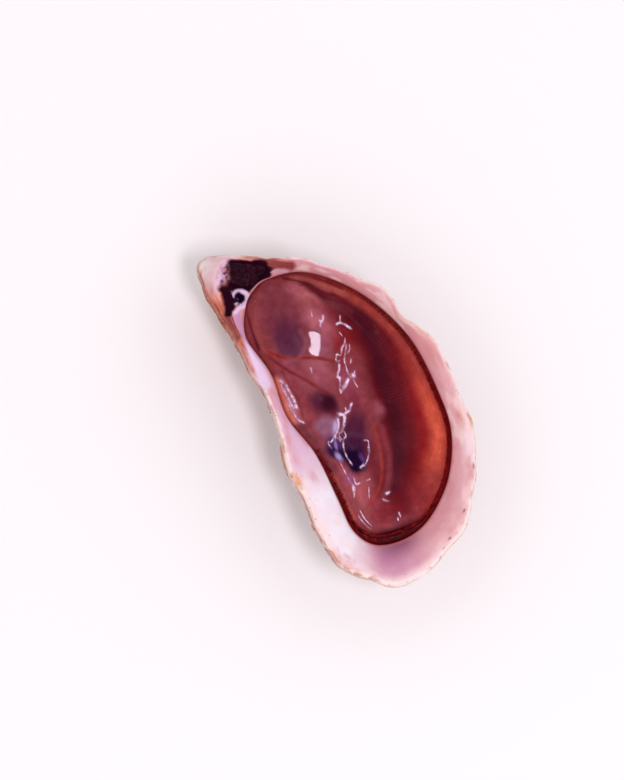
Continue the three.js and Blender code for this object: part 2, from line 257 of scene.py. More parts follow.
def pit_radius(t, across):
    """0 in the middle of the hinge pit and 1 at its edge: an ellipse in t and across."""
    turn = np.mod(t - PIT["t"] + 0.5, 1) - 0.5
    return np.hypot(turn / PIT["half_t"], (across - PIT["across"]) / PIT["half_across"])


def pit(t, across):
    """Depth of the hinge pit: a paraboloid to the power 1.2."""
    return PIT["depth"] * np.clip(1 - pit_radius(t, across) ** 2, 0, 1) ** 1.2


def lip_height(t, across):
    """Outside the crest a power curve down to the margin, inside it one down to the liquor."""
    crest, ridge = crest_height(t), crest_across(t)
    outside = crest - margin_drop(t) * np.clip(1 - across / ridge, 0, 1) ** OUTSIDE_POWER
    inside = mix(crest, LIQUOR_LEVEL, np.clip((across - ridge) / (1 - ridge), 0, 1) ** INSIDE_POWER)
    return np.where(across < ridge, outside, inside)


print("crest from", crest_height(np.linspace(0, 1, 200)).min().round(2), "mm up")

# %% [markdown]
# ## The outer face of the shell
# The cup is a bowl whose wall stands steeper by the hinge than at the lip. An oyster grows
# by adding a plate under its edge each season, so the outer face is told by a second number,
# growth: 0 at the oldest shell by the hinge and 1 at today's margin. Lines of equal growth
# bunch up at the hinge and fan out towards the lip, as the rings on the real shell do.

# %% The smooth cup
BASE_CENTRE = np.array([2.5, 0.5])
OLDEST_GROWTH = np.array([-36.0, -4.0])
BASE_SINK = 1.3
CUP_POWER, BEAK_MORE, LIP_LESS = 1.9, 0.5, 0.2  # how full the bowl is, and what changes that

bearing_t = np.linspace(0, 1, 20001)
bearing_reach = margin(bearing_t) - BASE_CENTRE
bearing_angle = np.unwrap(np.arctan2(bearing_reach[:, 1], bearing_reach[:, 0]))
bearing_length = np.linalg.norm(bearing_reach, axis=1)


def facing(plan):
    """The t and the reach of the margin in the same direction from the base centre, read from
    a fine table, because the margin's angle only ever turns one way."""
    away = plan - BASE_CENTRE
    angle = np.arctan2(away[..., 1], away[..., 0])
    angle = bearing_angle[0] - np.mod(bearing_angle[0] - angle, TAU)
    t = np.interp(-angle, -bearing_angle, bearing_t)
    return t, np.interp(-angle, -bearing_angle, bearing_length), np.linalg.norm(away, axis=-1)


def cup_height(plan):
    """A superellipse from floor to wall top, sunk a little so that a flat is cut under it."""
    t, reach, away = facing(plan)
    share = np.clip(away / reach, 0, 1)
    power = CUP_POWER + BEAK_MORE * bell(away_from(t, BEAK_T), 0.2)
    power = power - LIP_LESS * bell(away_from(t, LIP_T), 0.2)
    top = crest_height(t) - margin_drop(t)
    bowl = 1 - (1 - share**power) ** (1 / power)
    return np.maximum(0, (top * bowl - BASE_SINK) * top / (top - BASE_SINK))


def outer_points(t, growth):
    """Rings that slide from the oldest growth to the base centre while they widen to the margin."""
    out = np.sin(np.pi / 2 * growth)
    centre = mix(OLDEST_GROWTH, BASE_CENTRE, (out**3)[..., None])
    plan = mix(centre, margin(t), out[..., None])
    wall_top = np.broadcast_to(crest_height(t) - margin_drop(t), out.shape)
    height = np.where(growth >= 1, wall_top, cup_height(plan))
    return np.concatenate([plan, height[..., None]], axis=-1)


def normals_of(grid):
    """Unit normals of a grid of points that closes on itself along its second axis, from the
    cross product of its two neighbour steps."""
    down = np.gradient(grid, axis=0)
    along = np.roll(grid, -1, axis=1) - np.roll(grid, 1, axis=1)
    normal = np.cross(down, along)
    return normal / np.maximum(np.linalg.norm(normal, axis=-1, keepdims=True), 1e-9)


print("cup under its oldest shell:", cup_height(OLDEST_GROWTH[None])[0].round(1), "mm up")

# %% [markdown]
# ## Growth plates
# Each plate rises slowly from under the one before and ends in a ragged free edge. A saw
# tooth along the growth number makes that: eight large plates, and some forty fine ones on
# them. The tooth's place wanders on the way round, or the edges would look turned on a lathe.

# %% Relief of the outer face
PLATES, FINE_PLATES = 8, 43
PLATE_LIFT, FINE_LIFT = 1.0, 0.26  # millimetres


def saw(turns):
    """Slow climb from 0 to 1 and quick fall, once for each whole turn."""
    return np.interp(np.mod(turns, 1), [0, 0.12, 0.55, 0.96, 1], [0.75, 0, 0.45, 1, 0.75])


def plate_relief(points, t, growth):
    """How far the outer face stands off the smooth cup, and the two saw teeth that shape it."""
    taper = np.minimum(1, growth * 3) * (1 - growth**7)
    fine_taper = np.minimum(1, growth * 3) * (1 - growth**18)
    wander = (0.010 * wave(t, 4, 9 * growth) + 0.014 * rough(points, 9, 11)) * taper
    large = saw(PLATES * (growth + wander))
    ragged = 0.010 * rough(points, 3.0, 21) * taper
    fine = saw(FINE_PLATES * (growth + 0.4 * wander + ragged))
    uneven = 0.75 + 0.25 * wave(t, 5, 7 * growth) + 0.3 * rough(points, 6, 31)
    lift = PLATE_LIFT * large * uneven * taper + FINE_LIFT * fine * (0.4 + large) * fine_taper
    lift += 0.35 * rough(points, 4.5, 41) * taper + 0.12 * rough(points, 1.3, 51)
    return lift, large, fine


print("saw tooth at a plate's edge:", saw(0.96))

# %% [markdown]
# ## From grid to mesh
# Nearly every piece is a grid of points, rows by columns, whose columns close into a ring and
# whose first and last rows close on a pole. The moat of liquor has no poles: its rows close
# too. One function puts such points and faces into a Blender mesh and stores the numbers that
# the finishes read later, one for each vertex.


# %% Meshes from grids
def grid_quads(rows, columns, closed=False):
    """Quads between neighbouring rows and columns. The columns close into a ring, and so do
    the rows where that is asked for."""
    here = np.arange(columns)
    after = (here + 1) % columns
    start = np.arange(rows if closed else rows - 1)[:, None] * columns
    below = (start + columns) % (rows * columns)
    return np.stack([start + here, start + after, below + after, below + here], -1).reshape(-1, 4)


def ring_mesh(name, grid, poles, reads):
    """A grid closed at both ends by a fan of triangles to a pole."""
    rows, columns = grid.shape[:2]
    points = np.concatenate([grid.reshape(-1, 3), np.asarray(poles).reshape(2, 3)])
    here = np.arange(columns)
    after = (here + 1) % columns
    first, last = rows * columns, rows * columns + 1
    top = (rows - 1) * columns
    fans = np.concatenate([
        np.stack([np.full(columns, first), after, here], -1),
        np.stack([np.full(columns, last), top + here, top + after], -1)])
    return mesh_object(name, points, grid_quads(rows, columns), fans, reads)


def torus_mesh(name, grid, reads):
    """A grid that closes on itself both ways."""
    quads = grid_quads(*grid.shape[:2], closed=True)
    return mesh_object(name, grid.reshape(-1, 3), quads, np.zeros((0, 3), int), reads)


def mesh_object(name, points, quads, triangles, reads):
    """Puts whole arrays of points and corners into a mesh, in metres, with smooth shading."""
    mesh = bpy.data.meshes.new(name)
    mesh.vertices.add(len(points))
    mesh.vertices.foreach_set("co", ((np.asarray(points) + TO_MIDDLE) * MM).astype(np.float32).ravel())
    corners = np.concatenate([quads.ravel(), triangles.ravel()])
    sizes = np.concatenate([np.full(len(quads), 4), np.full(len(triangles), 3)])
    mesh.loops.add(len(corners))
    mesh.loops.foreach_set("vertex_index", corners.astype(np.int32))
    mesh.polygons.add(len(sizes))
    mesh.polygons.foreach_set("loop_start", (np.cumsum(sizes) - sizes).astype(np.int32))
    mesh.polygons.foreach_set("use_smooth", np.ones(len(sizes), bool))
    mesh.update(calc_edges=True)
    mesh.validate()
    for label, values in reads.items():
        values = np.asarray(values, np.float32)
        flat = values.ndim == 1
        store = mesh.attributes.new(label, "FLOAT" if flat else "FLOAT_COLOR", "POINT")
        if not flat:
            values = np.concatenate([values, np.ones((len(values), 1), np.float32)], axis=1)
        store.data.foreach_set("value" if flat else "color", values.ravel())
    piece = bpy.data.objects.new(name, mesh)
    bpy.context.scene.collection.objects.link(piece)
    return piece


# %% [markdown]
# A closed mesh has to show its outer side. The volume between the origin and each face has a
# sign, and when these add up to less than nothing, the faces point in and are turned.


# %% Faces outwards
def outward(piece):
    """Turns the mesh if its signed volume, a sixth of the sum of a . (b x c), is negative."""
    mesh = piece.data
    mesh.calc_loop_triangles()
    corners = np.empty(len(mesh.loop_triangles) * 3, np.int32)
    mesh.loop_triangles.foreach_get("vertices", corners)
    points = np.empty(len(mesh.vertices) * 3)
    mesh.vertices.foreach_get("co", points)
    a, b, c = points.reshape(-1, 3)[corners].reshape(-1, 3, 3).transpose(1, 0, 2)
    volume = np.einsum("ij,ij->", a, np.cross(b, c)) / 6
    if volume < 0:
        mesh.flip_normals()
    millilitres = round(abs(volume) * 1e6, 2)
    print(piece.name, "has", len(mesh.loop_triangles), "triangles and", millilitres, "ml")
    return piece


# %% [markdown]
# ## The hollow
# Under the waterline the lip turns down into the hollow that holds the animal. Its rings
# shrink towards a spine, not towards one point, so that the same distance in from the edge
# means the same thing all round. Flesh and liquor use these rings too.

# %% Rings of the hollow
SPINE = np.array([(-23.0, 2.0), (24.0, -1.0)])
CAVITY_ROUNDNESS = 1.9
GAP = 0.3


def spine_point(edge):
    """The nearest place on the spine to a point of the waterline."""
    axis = SPINE[1] - SPINE[0]
    share = np.clip((edge - SPINE[0]) @ axis / (axis @ axis), 0, 1)
    return SPINE[0] + share[..., None] * axis


def hollow_plan(t, out, inset=0.0):
    """out is 0 over the middle and 1 at the waterline, and inset moves a point in, in mm."""
    edge = waterline(t)
    centre = mix(BASE_CENTRE, spine_point(edge), np.asarray(out)[..., None])
    reach = edge - centre
    length = np.linalg.norm(reach, axis=-1)
    return centre + reach * (out * (1 - inset / length))[..., None]


def spine_reach(t):
    """Distance from the spine to the waterline."""
    return np.linalg.norm(waterline(t) - spine_point(waterline(t)), axis=-1)


def out_at(t, inset):
    """The ring that lies this far in from the waterline, as out."""
    return 1 - inset / spine_reach(t)


def wall_out(depth):
    """Where the hollow's wall stands at a depth under the waterline, as out."""
    return (1 - (depth / (LIQUOR_LEVEL - CAVITY_FLOOR)) ** CAVITY_ROUNDNESS) ** (1 / CAVITY_ROUNDNESS)


def hollow_points(t, out, inset=0.0):
    """The hollow's wall: a superellipse from the waterline down to the floor."""
    t, out = np.broadcast_arrays(t, out)
    depth = (1 - out**CAVITY_ROUNDNESS) ** (1 / CAVITY_ROUNDNESS)
    height = mix(LIQUOR_LEVEL, CAVITY_FLOOR, depth) + inset
    return np.concatenate([hollow_plan(t, out, inset), height[..., None]], axis=-1)


print("hollow:", round(LIQUOR_LEVEL - CAVITY_FLOOR, 1), "mm deep")

# %% [markdown]
# ## The shell
# Outer face, lip and hollow are three stacks of rings that meet, so one grid holds them all.
# The outer face is the smooth cup with its plates raised along the normals.

# %% Outer face
SHELL_COLUMNS, OUTER_ROWS, LIP_ROWS, HOLLOW_ROWS = 440, 132, 66, 14

t_ring = (np.arange(SHELL_COLUMNS) / SHELL_COLUMNS)[None, :]
growth_rows = np.linspace(0, 1, OUTER_ROWS + 1)[1:, None]
across_rows = np.linspace(0, 1, LIP_ROWS + 1)[1:, None] ** 1.15
hollow_rows = np.linspace(0.99, 0.06, HOLLOW_ROWS)[:, None]


def build_outer():
    """The smooth cup moved out along its normals by the plates, never below the floor."""
    t, growth = np.broadcast_arrays(t_ring, growth_rows)
    smooth = outer_points(t, growth)
    lift, large, fine = plate_relief(smooth, t, growth)
    normal = normals_of(smooth)
    outwards = (normal[..., :2] * (smooth[..., :2] - BASE_CENTRE)).sum(-1, keepdims=True)
    normal *= np.sign(outwards - normal[..., 2:])
    points = smooth + normal * lift[..., None]
    points[-1] = smooth[-1]
    points[..., 2] = np.maximum(points[..., 2], 0)
    return points, {"large": large, "fine": fine, "growth": growth}


outer, outer_reads = build_outer()
print("outer face:", outer.shape[0], "rings of", outer.shape[1], "points")

# %% [markdown]
# The lip gets a fine relief of its own: faint layers outside the crest, where the shell is
# rough, and soft swells inside it. The socket beside the hinge is a raised curl round a hole.


# %% Lip
SOCKET = np.array([-37.3, -9.4])


def near_line(plan, line, steps=90):
    """Distance in plan from each point to a curve through the given points, and how far along
    the curve the nearest place is, from 0 to 1: a running least over the curve's places."""
    best = np.full(plan.shape[:-1], 1e9)
    along = np.zeros_like(best)
    for number, place in enumerate(open_curve(line, steps)):
        away = np.hypot(plan[..., 0] - place[0], plan[..., 1] - place[1])
        along = np.where(away < best, number / (steps - 1), along)
        best = np.minimum(best, away)
    return best, along


def socket_relief(plan):
    """The socket by the hinge: a raised curl round a small hole, as two bells of the distance."""
    away = np.linalg.norm(plan - SOCKET, axis=-1)
    curl = 0.6 * bell(np.abs(away - 1.7), 0.9) * rise(plan[..., 0] - SOCKET[0], -1.2, 0.8)
    return curl - 1.6 * bell(away, 1.5)


def build_lip():
    """The lip's smooth height, less the pit, with layers outside the crest and swells inside."""
    t, across = np.broadcast_arrays(t_ring, across_rows)
    plan = lip_plan(t, across)
    height = lip_height(t, across) - pit(t, across) + socket_relief(plan)
    flat = flat_points(plan)
    outer_share = 1 - rise(across, 0.5 * crest_across(t), 1.2 * crest_across(t))
    layers = saw(height / 0.8 + 0.8 * rough(flat, 5, 61)) + 0.5 * saw(height / 0.33 + rough(flat, 3, 62))
    height += 0.22 * layers * outer_share * rise(across, 0, 0.05)
    swell = 0.28 * rough(flat, 7, 71) + 0.05 * rough(flat, 1.6, 72) * (1 - 0.6 * rise(across, 0.4, 0.7))
    height += swell * bell(np.abs(across - 0.5), 0.5)
    return np.concatenate([plan, height[..., None]], -1), {"across": across, "outer_share": outer_share}


lip, lip_reads = build_lip()
print("lip from", lip[..., 2].min().round(1), "to", lip[..., 2].max().round(1), "mm up")

# %% [markdown]
# ## The colours of the lip
# Nacre is never one colour. This lip is mauve and pink, with a cream border, tan ribs and
# small brown stains, lavender on the hollow side and orange on the steep wall by the hinge.
# A painter would lay thin glazes, one over the other, and so does this: each layer is a
# colour and a share from 0 to 1 for every vertex. The first layers are broad tints.


# %% Broad tints along the lip
def paint(ground, layers):
    """Lays the colours of all layers over the ground in turn, each by its share."""
    tint = ground
    for colour, share in layers:
        tint = mix(tint, np.array(colour), np.clip(share, 0, 1)[..., None])
    return tint


LIP_TINTS = (  # place on the way round, half breadth, colour and strength
    (0.16, 0.12, (0.66, 0.29, 0.32), 0.9),
    (0.27, 0.07, (0.70, 0.31, 0.33), 0.8),
    (0.375, 0.09, (0.78, 0.40, 0.43), 0.8),
    (0.47, 0.06, (0.70, 0.33, 0.37), 0.9),
    (0.560, 0.065, (0.54, 0.225, 0.37), 1.0),
    (0.76, 0.10, (0.76, 0.50, 0.66), 1.1),
)
OUTER_TINTS = (  # the same for the half towards the margin
    (0.20, 0.08, (0.84, 0.50, 0.50), 0.5),
    (0.30, 0.06, (0.82, 0.50, 0.50), 0.6),
    (0.385, 0.075, (0.92, 0.72, 0.78), 1.0),
    (0.475, 0.06, (0.86, 0.56, 0.58), 0.8),
    (0.56, 0.06, (0.80, 0.46, 0.56), 0.5),
)
LIP_STAINS = (  # place, share of the way across, half breadths of both, and colour
    (0.262, 0.18, 0.018, 0.16, (0.78, 0.40, 0.26)), (0.300, 0.10, 0.007, 0.12, (0.62, 0.22, 0.14)),
    (0.352, 0.55, 0.022, 0.30, (0.72, 0.27, 0.24)), (0.358, 0.10, 0.015, 0.14, (0.74, 0.34, 0.20)),
    (0.408, 0.12, 0.005, 0.08, (0.45, 0.12, 0.09)), (0.455, 0.22, 0.003, 0.05, (0.25, 0.05, 0.05)),
    (0.487, 0.20, 0.003, 0.05, (0.30, 0.07, 0.07)), (0.497, 0.14, 0.004, 0.05, (0.45, 0.14, 0.12)),
    (0.578, 0.45, 0.006, 0.04, (0.66, 0.30, 0.34)),
    (0.722, 0.10, 0.012, 0.14, (0.82, 0.42, 0.24)), (0.640, 0.04, 0.010, 0.06, (0.70, 0.32, 0.22)),
)


def broad_layers(t, across, uneven, **_):
    """The tints along the lip, a mauve shadow at its end, and lavender on the hollow side."""
    outer_half = (1 - rise(across + 0.15 * uneven, 0.25, 0.8)) * rise(across, 0.02, 0.12)
    for place, breadth, colour, share in LIP_TINTS:
        yield colour, bell(away_from(t, place), breadth) * (share + 0.25 * uneven)
    for place, breadth, colour, share in OUTER_TINTS:
        yield colour, bell(away_from(t, place), breadth) * outer_half * share
    yield (0.27, 0.075, 0.135), bell(away_from(t, 0.540), 0.065) * rise(across, 0.45, 1.0)
    yield (0.92, 0.86, 0.94), bell(away_from(t, 0.663), 0.092) * rise(across, 0.05, 0.25) * 1.4


print("broad tints:", len(LIP_TINTS) + len(OUTER_TINTS), "stains:", len(LIP_STAINS))

# %% [markdown]
# Towards the margin the shell is this year's growth: thin, cream, ribbed across, and stained
# where weed and mud have clung. Where it meets the liquor, shade is painted on it.


# %% Border, stains and shore
def free_share(t):
    """1 where the mantle stands free of the shell, on the bulging side and at the lip, and 0
    by the hinge and along the hollow side, where the flesh lies against it."""
    return rise(np.mod(t, 1), 0.12, 0.36) * (1 - rise(np.mod(t, 1), 0.64, 0.80))


def border_layers(t, across, uneven, fine, **_):
    """In turn: pink cream, tan mottling, ribs of cream and tan, the cream border, its orange
    edge, a cream line on that, and brown spots."""
    seaward = 1 - rise(hinge_side_share(t), 0.0, 0.3)
    yield (0.97, 0.74, 0.74), (1 - rise(across + 0.10 * uneven, 0.06, 0.34)) * 0.85 * seaward
    mottling = bell(np.abs(across - 0.3), 0.3) * rise(fine + uneven, 0.1, 0.7)
    yield (0.78, 0.40, 0.36), mottling * 0.45 * seaward
    ribs = rough(np.stack([t * 46, across * 3.2, 0 * t], -1), 1.0, 78, 4) * seaward
    ribs = ribs * (1 - bell(away_from(t, 0.55), 0.1))
    yield (0.97, 0.80, 0.74), rise(ribs, 0.08, 0.5) * 0.5
    yield (0.68, 0.27, 0.26), rise(-ribs, 0.12, 0.5) * 0.45
    yield (1.0, 0.90, 0.87), (1 - rise(across + 0.06 * fine, 0.06, 0.18)) * 0.6 * seaward
    edge = (1 - rise(across + 0.05 * uneven, 0.01, 0.09)) * rise(uneven, -0.3, 0.3)
    yield (0.92, 0.60, 0.46), edge * seaward
    cream_line = bell(np.abs(across - 0.05 - 0.03 * fine), 0.07) * rise(fine, -0.4, 0.3)
    yield (0.98, 0.86, 0.80), cream_line * seaward
    spots = (1 - rise(across, 0.03, 0.16)) * rise(fine + 0.5 * uneven, 0.2, 0.5)
    yield (0.58, 0.22, 0.13), spots * 0.8


def stains_and_shore_shade(t, across, fine, **_):
    """The single stains, and two dark lines of painted shade where the lip goes under the liquor."""
    for stain_t, stain_across, breadth, depth, colour in LIP_STAINS:
        stain = bell(away_from(t, stain_t), breadth) * bell(np.abs(across - stain_across), depth)
        yield colour, stain * (0.9 + 1.2 * fine)
    # Painted shade where the lip sinks into the groove.
    yield (0.50, 0.18, 0.21), rise(across, 0.90, 1.0) * 0.7 * (1 - bell(away_from(t, 0.72), 0.10))
    yield (0.32, 0.014, 0.018), rise(across, 0.965, 1.0) * free_share(t)


print("the mantle stands free over", free_share(np.linspace(0, 1, 500)).mean().round(2), "of the way round")

# %% [markdown]
# By the hinge the lip falls steeply to the margin. That wall is orange with dark streaks, and
# a strip of lavender nacre runs along its top. The knob at the end is the oldest shell, worn
# to cream, with a painted highlight on its tip, and a crust of lilac and brown where the horn
# begins.

# %% Hinge side and knob
STRIP = ((-34.4, -12.7), (-31.2, -13.4), (-26.9, -14.0), (-22.3, -15.0), (-18.1, -15.6), (-14.5, -16.6))
STRIP_START, STRIP_END = np.array([0.66, 0.34, 0.58]), np.array([0.84, 0.64, 0.84])
KNOB_HIGHLIGHT_PLACE, CRUST_HOLE = (-49.8, -12.6), (-43.3, -11.2)
CRUST_LINE = ((-46.6, -7.6), (-44.8, -10.4), (-42.6, -12.4))
TOP_EDGE = ((-47.4, -6.2), (-44.2, -1.4), (-41.0, 3.1), (-37.5, 8.0))


def side_layers(t, across, plan, fine, **_):
    """The orange wall, its dark and pale streaks, and the lavender strip along its top."""
    wall = (1 - rise(across + 0.05 * fine, 0.50, 0.62)) * rise(hinge_side_share(t), 0.0, 0.35)
    streak = rough(np.stack([t * 70, across * 18, 0 * t], -1), 1.0, 77, 4)
    yield (0.74, 0.155, 0.065), wall
    dark_streak = streak + 0.8 * bell(np.abs(across - 0.52), 0.2)
    yield (0.16, 0.016, 0.018), wall * rise(dark_streak, 0.14, 0.42) * 0.9
    yield (0.84, 0.40, 0.28), wall * rise(-streak, 0.18, 0.45) * 0.8
    off, along = near_line(plan, STRIP)
    colour = mix(STRIP_START, STRIP_END, rise(along, 0.1, 0.6)[..., None])
    yield colour, bell(off, mix(1.5, 2.6, rise(along, 0.1, 0.8))) * 1.5


def knob_layers(t, across, plan, fine, **_):
    """The knob and a painted highlight on its tip, the lilac crust with a hole and brown specks, the orange
    edge.
    """
    yield (0.90, 0.62, 0.66), beak_share(t) * (1 - rise(across, 0.30, 0.42)) * 1.3
    # Painted highlight: a pale spot on the knob's tip makes it look round.
    yield (1.0, 0.86, 0.84), bell(np.linalg.norm(plan - KNOB_HIGHLIGHT_PLACE, axis=-1), 3.6)
    crust = bell(near_line(plan, CRUST_LINE)[0] + 0.4 * fine, 2.2)
    yield (0.82, 0.56, 0.74), crust * 1.3
    yield (0.14, 0.03, 0.13), bell(np.linalg.norm(plan - CRUST_HOLE, axis=-1) + 0.5 * fine, 1.1) * 1.3
    yield (0.40, 0.15, 0.26), crust * rise(fine, 0.10, 0.3) * 0.8
    off, along = near_line(plan, TOP_EDGE)
    yield (0.55, 0.19, 0.13), bell(off + 0.4 * fine, 1.3) * bell(np.abs(along - 0.5), 0.5) * 1.8


print("lavender strip:", round(float(np.ptp(np.array(STRIP)[:, 0])), 1), "mm long")

# %% [markdown]
# The ligament was horn, and what is left of it stains the hinge nearly black, with a brown
# edge. In the middle of that lies the socket; its hole is painted nearly black as its shade,
# with painted blue glints in it.

# %% Horn and socket
DARK_HORN = (  # lines of the dark horn round the hinge and their half widths
    (((-42.8, -9.8), (-42.4, -5.8), (-41.0, -0.4)), 3.1),
    (((-40.6, -9.6), (-39.5, -5.6), (-39.2, -1.4)), 2.7),
    (((-42.0, -11.0), (-38.6, -12.1), (-36.8, -12.6)), 2.5),
    (((-38.0, -12.8), (-36.6, -13.7), (-35.4, -14.2)), 1.1),
    (((-38.6, -5.6), (-38.2, -2.6), (-38.6, 0.6)), 1.7),
    (((-37.6, -6.4), (-37.2, -4.2), (-37.6, -1.8)), 1.6),
)
BROWN_EDGES = (  # the line followed, half width, colour and strength
    (((-41.8, 0.2), (-39.0, 3.8), (-36.8, 6.6)), 1.7, (0.28, 0.042, 0.042), 1.3),
    (((-38.4, -13.6), (-35.6, -14.8), (-32.4, -15.4), (-28.6, -16.0)), 1.2, (0.30, 0.048, 0.045), 1.1),
)
PALE_LINE = ((-38.3, 0.6), (-38.0, 2.8), (-36.2, 5.2))
CURL = ((-38.4, -7.9), (-36.9, -7.2), (-35.6, -7.8), (-34.9, -9.2), (-35.0, -11.1), (-34.6, -12.7))
KNOB_SIDEWAYS, WALL_DOWN = (0.549, 0.836), (0.836, -0.549)  # directions in plan


def hinge_dark(t, across, plan, fine):
    """Share of the dark horn by the hinge: the pit, and tongues of it along a few lines."""
    share = 1 - rise(pit_radius(t, across) + 0.12 * fine, 0.85, 1.12)
    for line, half in DARK_HORN:
        share = np.maximum(share, bell(near_line(plan, line)[0] + 0.9 * fine, half) * 1.8)
    return np.clip(share, 0, 1) * (1 - rise(across, 0.95, 0.99))


def pale_share(plan, fine):
    """1 on the knob's side of the horn, where a pale crust still covers it, by two distances:
    sideways from the knob, and down along the wall."""
    sideways, down = plan @ KNOB_SIDEWAYS, plan @ WALL_DOWN
    return (1 - rise(sideways + 0.5 * fine, -32.4, -30.6)) * (1 - rise(down, -30.5, -28.0))


def horn_layers(t, across, plan, fine, **_):
    """Brown edges first, then the horn itself, brown where it starts, and one pale line on it."""
    for line, half, colour, share in BROWN_EDGES:
        yield colour, bell(near_line(plan, line)[0] + 0.4 * fine, half) * share
    dark = hinge_dark(t, across, plan, fine) * (1 - pale_share(plan, fine))
    yield (0.32, 0.065, 0.055), rise(dark, 0.0, 0.4) * 0.85
    yield (0.020, 0.002, 0.009), rise(dark, 0.2, 0.95)
    off, along = near_line(plan, PALE_LINE)
    yield (0.66, 0.40, 0.50), bell(off, 0.45) * rise(fine + along, 0.1, 0.6) * 1.1


def socket_layers(plan, fine, **_):
    """A dark yard round the socket, the white curl that runs on into the lavender strip, pale
    flecks, the hole painted nearly black as its shade, and painted glints in it."""
    away = np.linalg.norm(plan - SOCKET, axis=-1)
    ashore = 1 - rise(plan[..., 0] + 0.9 * plan[..., 1], -43.8, -43.0)
    yield (0.022, 0.002, 0.012), bell(away + 0.4 * fine, 3.1) * 3 * ashore
    yield (0.84, 0.62, 0.84), bell(near_line(plan, CURL)[0] + 0.15 * fine, 0.95) * 1.5
    yield (0.72, 0.52, 0.74), bell(np.abs(away - 1.9), 0.7) * rise(fine, 0.05, 0.3)
    # Painted shade in the hole, and painted glints on it.
    yield (0.012, 0.003, 0.022), bell(away + 0.5 * fine, 1.6) * 1.7
    yield (0.50, 0.42, 0.75), bell(away, 1.5) * rise(rough(flat_points(plan), 0.6, 79), 0.25, 0.45)


print("lines of horn:", len(DARK_HORN))

# %% [markdown]
# Now everything is at hand: the colours are laid, the three stacks of rings are joined, and
# each vertex gets the numbers that the finish will read.

# %% Build the shell
LIP_GROUND, OUTER_GROUND = np.array([0.74, 0.38, 0.42]), (0.80, 0.50, 0.50)
# Painted shade: the hollow's wall, seen only through the moat, is painted brown-pink and darker than the lip,
# deep red where the mantle stands free and nearly black by the lip's end, as the shade in the groove.
HOLLOW_SHADED_GROUND = np.array([0.46, 0.16, 0.17])
HOLLOW_RED_SHADE, HOLLOW_DARK_SHADE = (0.26, 0.005, 0.006), (0.07, 0.002, 0.004)
LIP_LAYERS = (broad_layers, border_layers, stains_and_shore_shade, side_layers, knob_layers, horn_layers,
              socket_layers)


def lip_colours(t, across, plan):
    """The layers of every part of the lip over a mauve ground, in two sizes of unevenness."""
    flat = flat_points(plan)
    here = {"t": t, "across": across, "plan": plan}
    here |= {"uneven": rough(flat, 7, 75), "fine": rough(flat, 1.7, 76, 4)}
    return paint(LIP_GROUND, (layer for layers in LIP_LAYERS for layer in layers(**here)))


def shell_reads():
    """The numbers of every vertex: outer face, lip, hollow and the two poles, in that order."""
    hollow_count = hollow[..., 0].size
    lip_zero, outer_zero = np.zeros(lip[..., 0].size), np.zeros(outer[..., 0].shape)
    t, across = np.broadcast_arrays(t_ring, across_rows)
    tint = lip_colours(t, across, lip[..., :2])
    cream = np.tile(OUTER_GROUND, (outer_zero.size, 1))
    free, by_lip = free_share(t_ring), bell(away_from(t_ring, 0.545), 0.12)
    # Painted shade of the groove, darkest by the lip's end.
    below = paint(HOLLOW_SHADED_GROUND, ((HOLLOW_RED_SHADE, free), (HOLLOW_DARK_SHADE, by_lip)))
    below = np.broadcast_to(below, hollow.shape).reshape(-1, 3)
    outside = lip_reads["outer_share"] * (0.15 + 0.85 * (hinge_side_share(t) + beak_share(t)))

    def joined(on_outer, on_lip, on_hollow):
        """One number for all vertices: the first pole is like the outer face, the last like the
        hollow."""
        parts = (on_outer, on_lip, np.full(hollow_count, on_hollow), on_outer.ravel()[0], on_hollow)
        return np.concatenate([np.ravel(part) for part in parts])

    return {
        "lip_tint": np.concatenate([cream, tint.reshape(-1, 3), below, cream[:1], below[:1]]),
        "outside": joined(outer_zero + 1, outside, 0),
        "plate": joined(outer_reads["large"], lip_zero, 0),
        "layer": joined(outer_reads["fine"], lip_zero, 0),
        "growth": joined(outer_reads["growth"], lip_zero + 1, 1),
        "across": joined(outer_zero, across, 1),
        "hinge_side": joined(outer_zero + hinge_side_share(t_ring), hinge_side_share(t) + 0 * across, 0),
    }


hollow = hollow_points(t_ring, hollow_rows)
shell_grid = np.concatenate([outer, lip, hollow])
oldest_point = np.append(OLDEST_GROWTH, cup_height(OLDEST_GROWTH[None])[0])
shell_poles = [oldest_point, np.append(BASE_CENTRE, CAVITY_FLOOR)]
box_low, box_high = (np.array(corner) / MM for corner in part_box("shell"))
shell_grid = np.clip(shell_grid, box_low - TO_MIDDLE, box_high - TO_MIDDLE)
oyster_shell = outward(ring_mesh("oyster_shell", shell_grid, shell_poles, shell_reads()))
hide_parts("shell")

# %% [markdown]
# ## The oyster itself
# The animal fills the hollow like a cushion. From the rim inwards come a groove where the
# liquor stands, the frilled mantle edge, the broad mantle, a furrow over the gills, and the
# plump body with its muscle. Each is a swelling or a fold with a place, a size and a height.

# %% Relief of the flesh
HAIR = 0.1  # between flesh and shell at the waterline, in millimetres
# Each pair is for where the mantle lies against the shell, and for where it is free.
MANTLE_RISE, MANTLE_SLOPE = (0.45, 0.9), (2.2, 1.2)
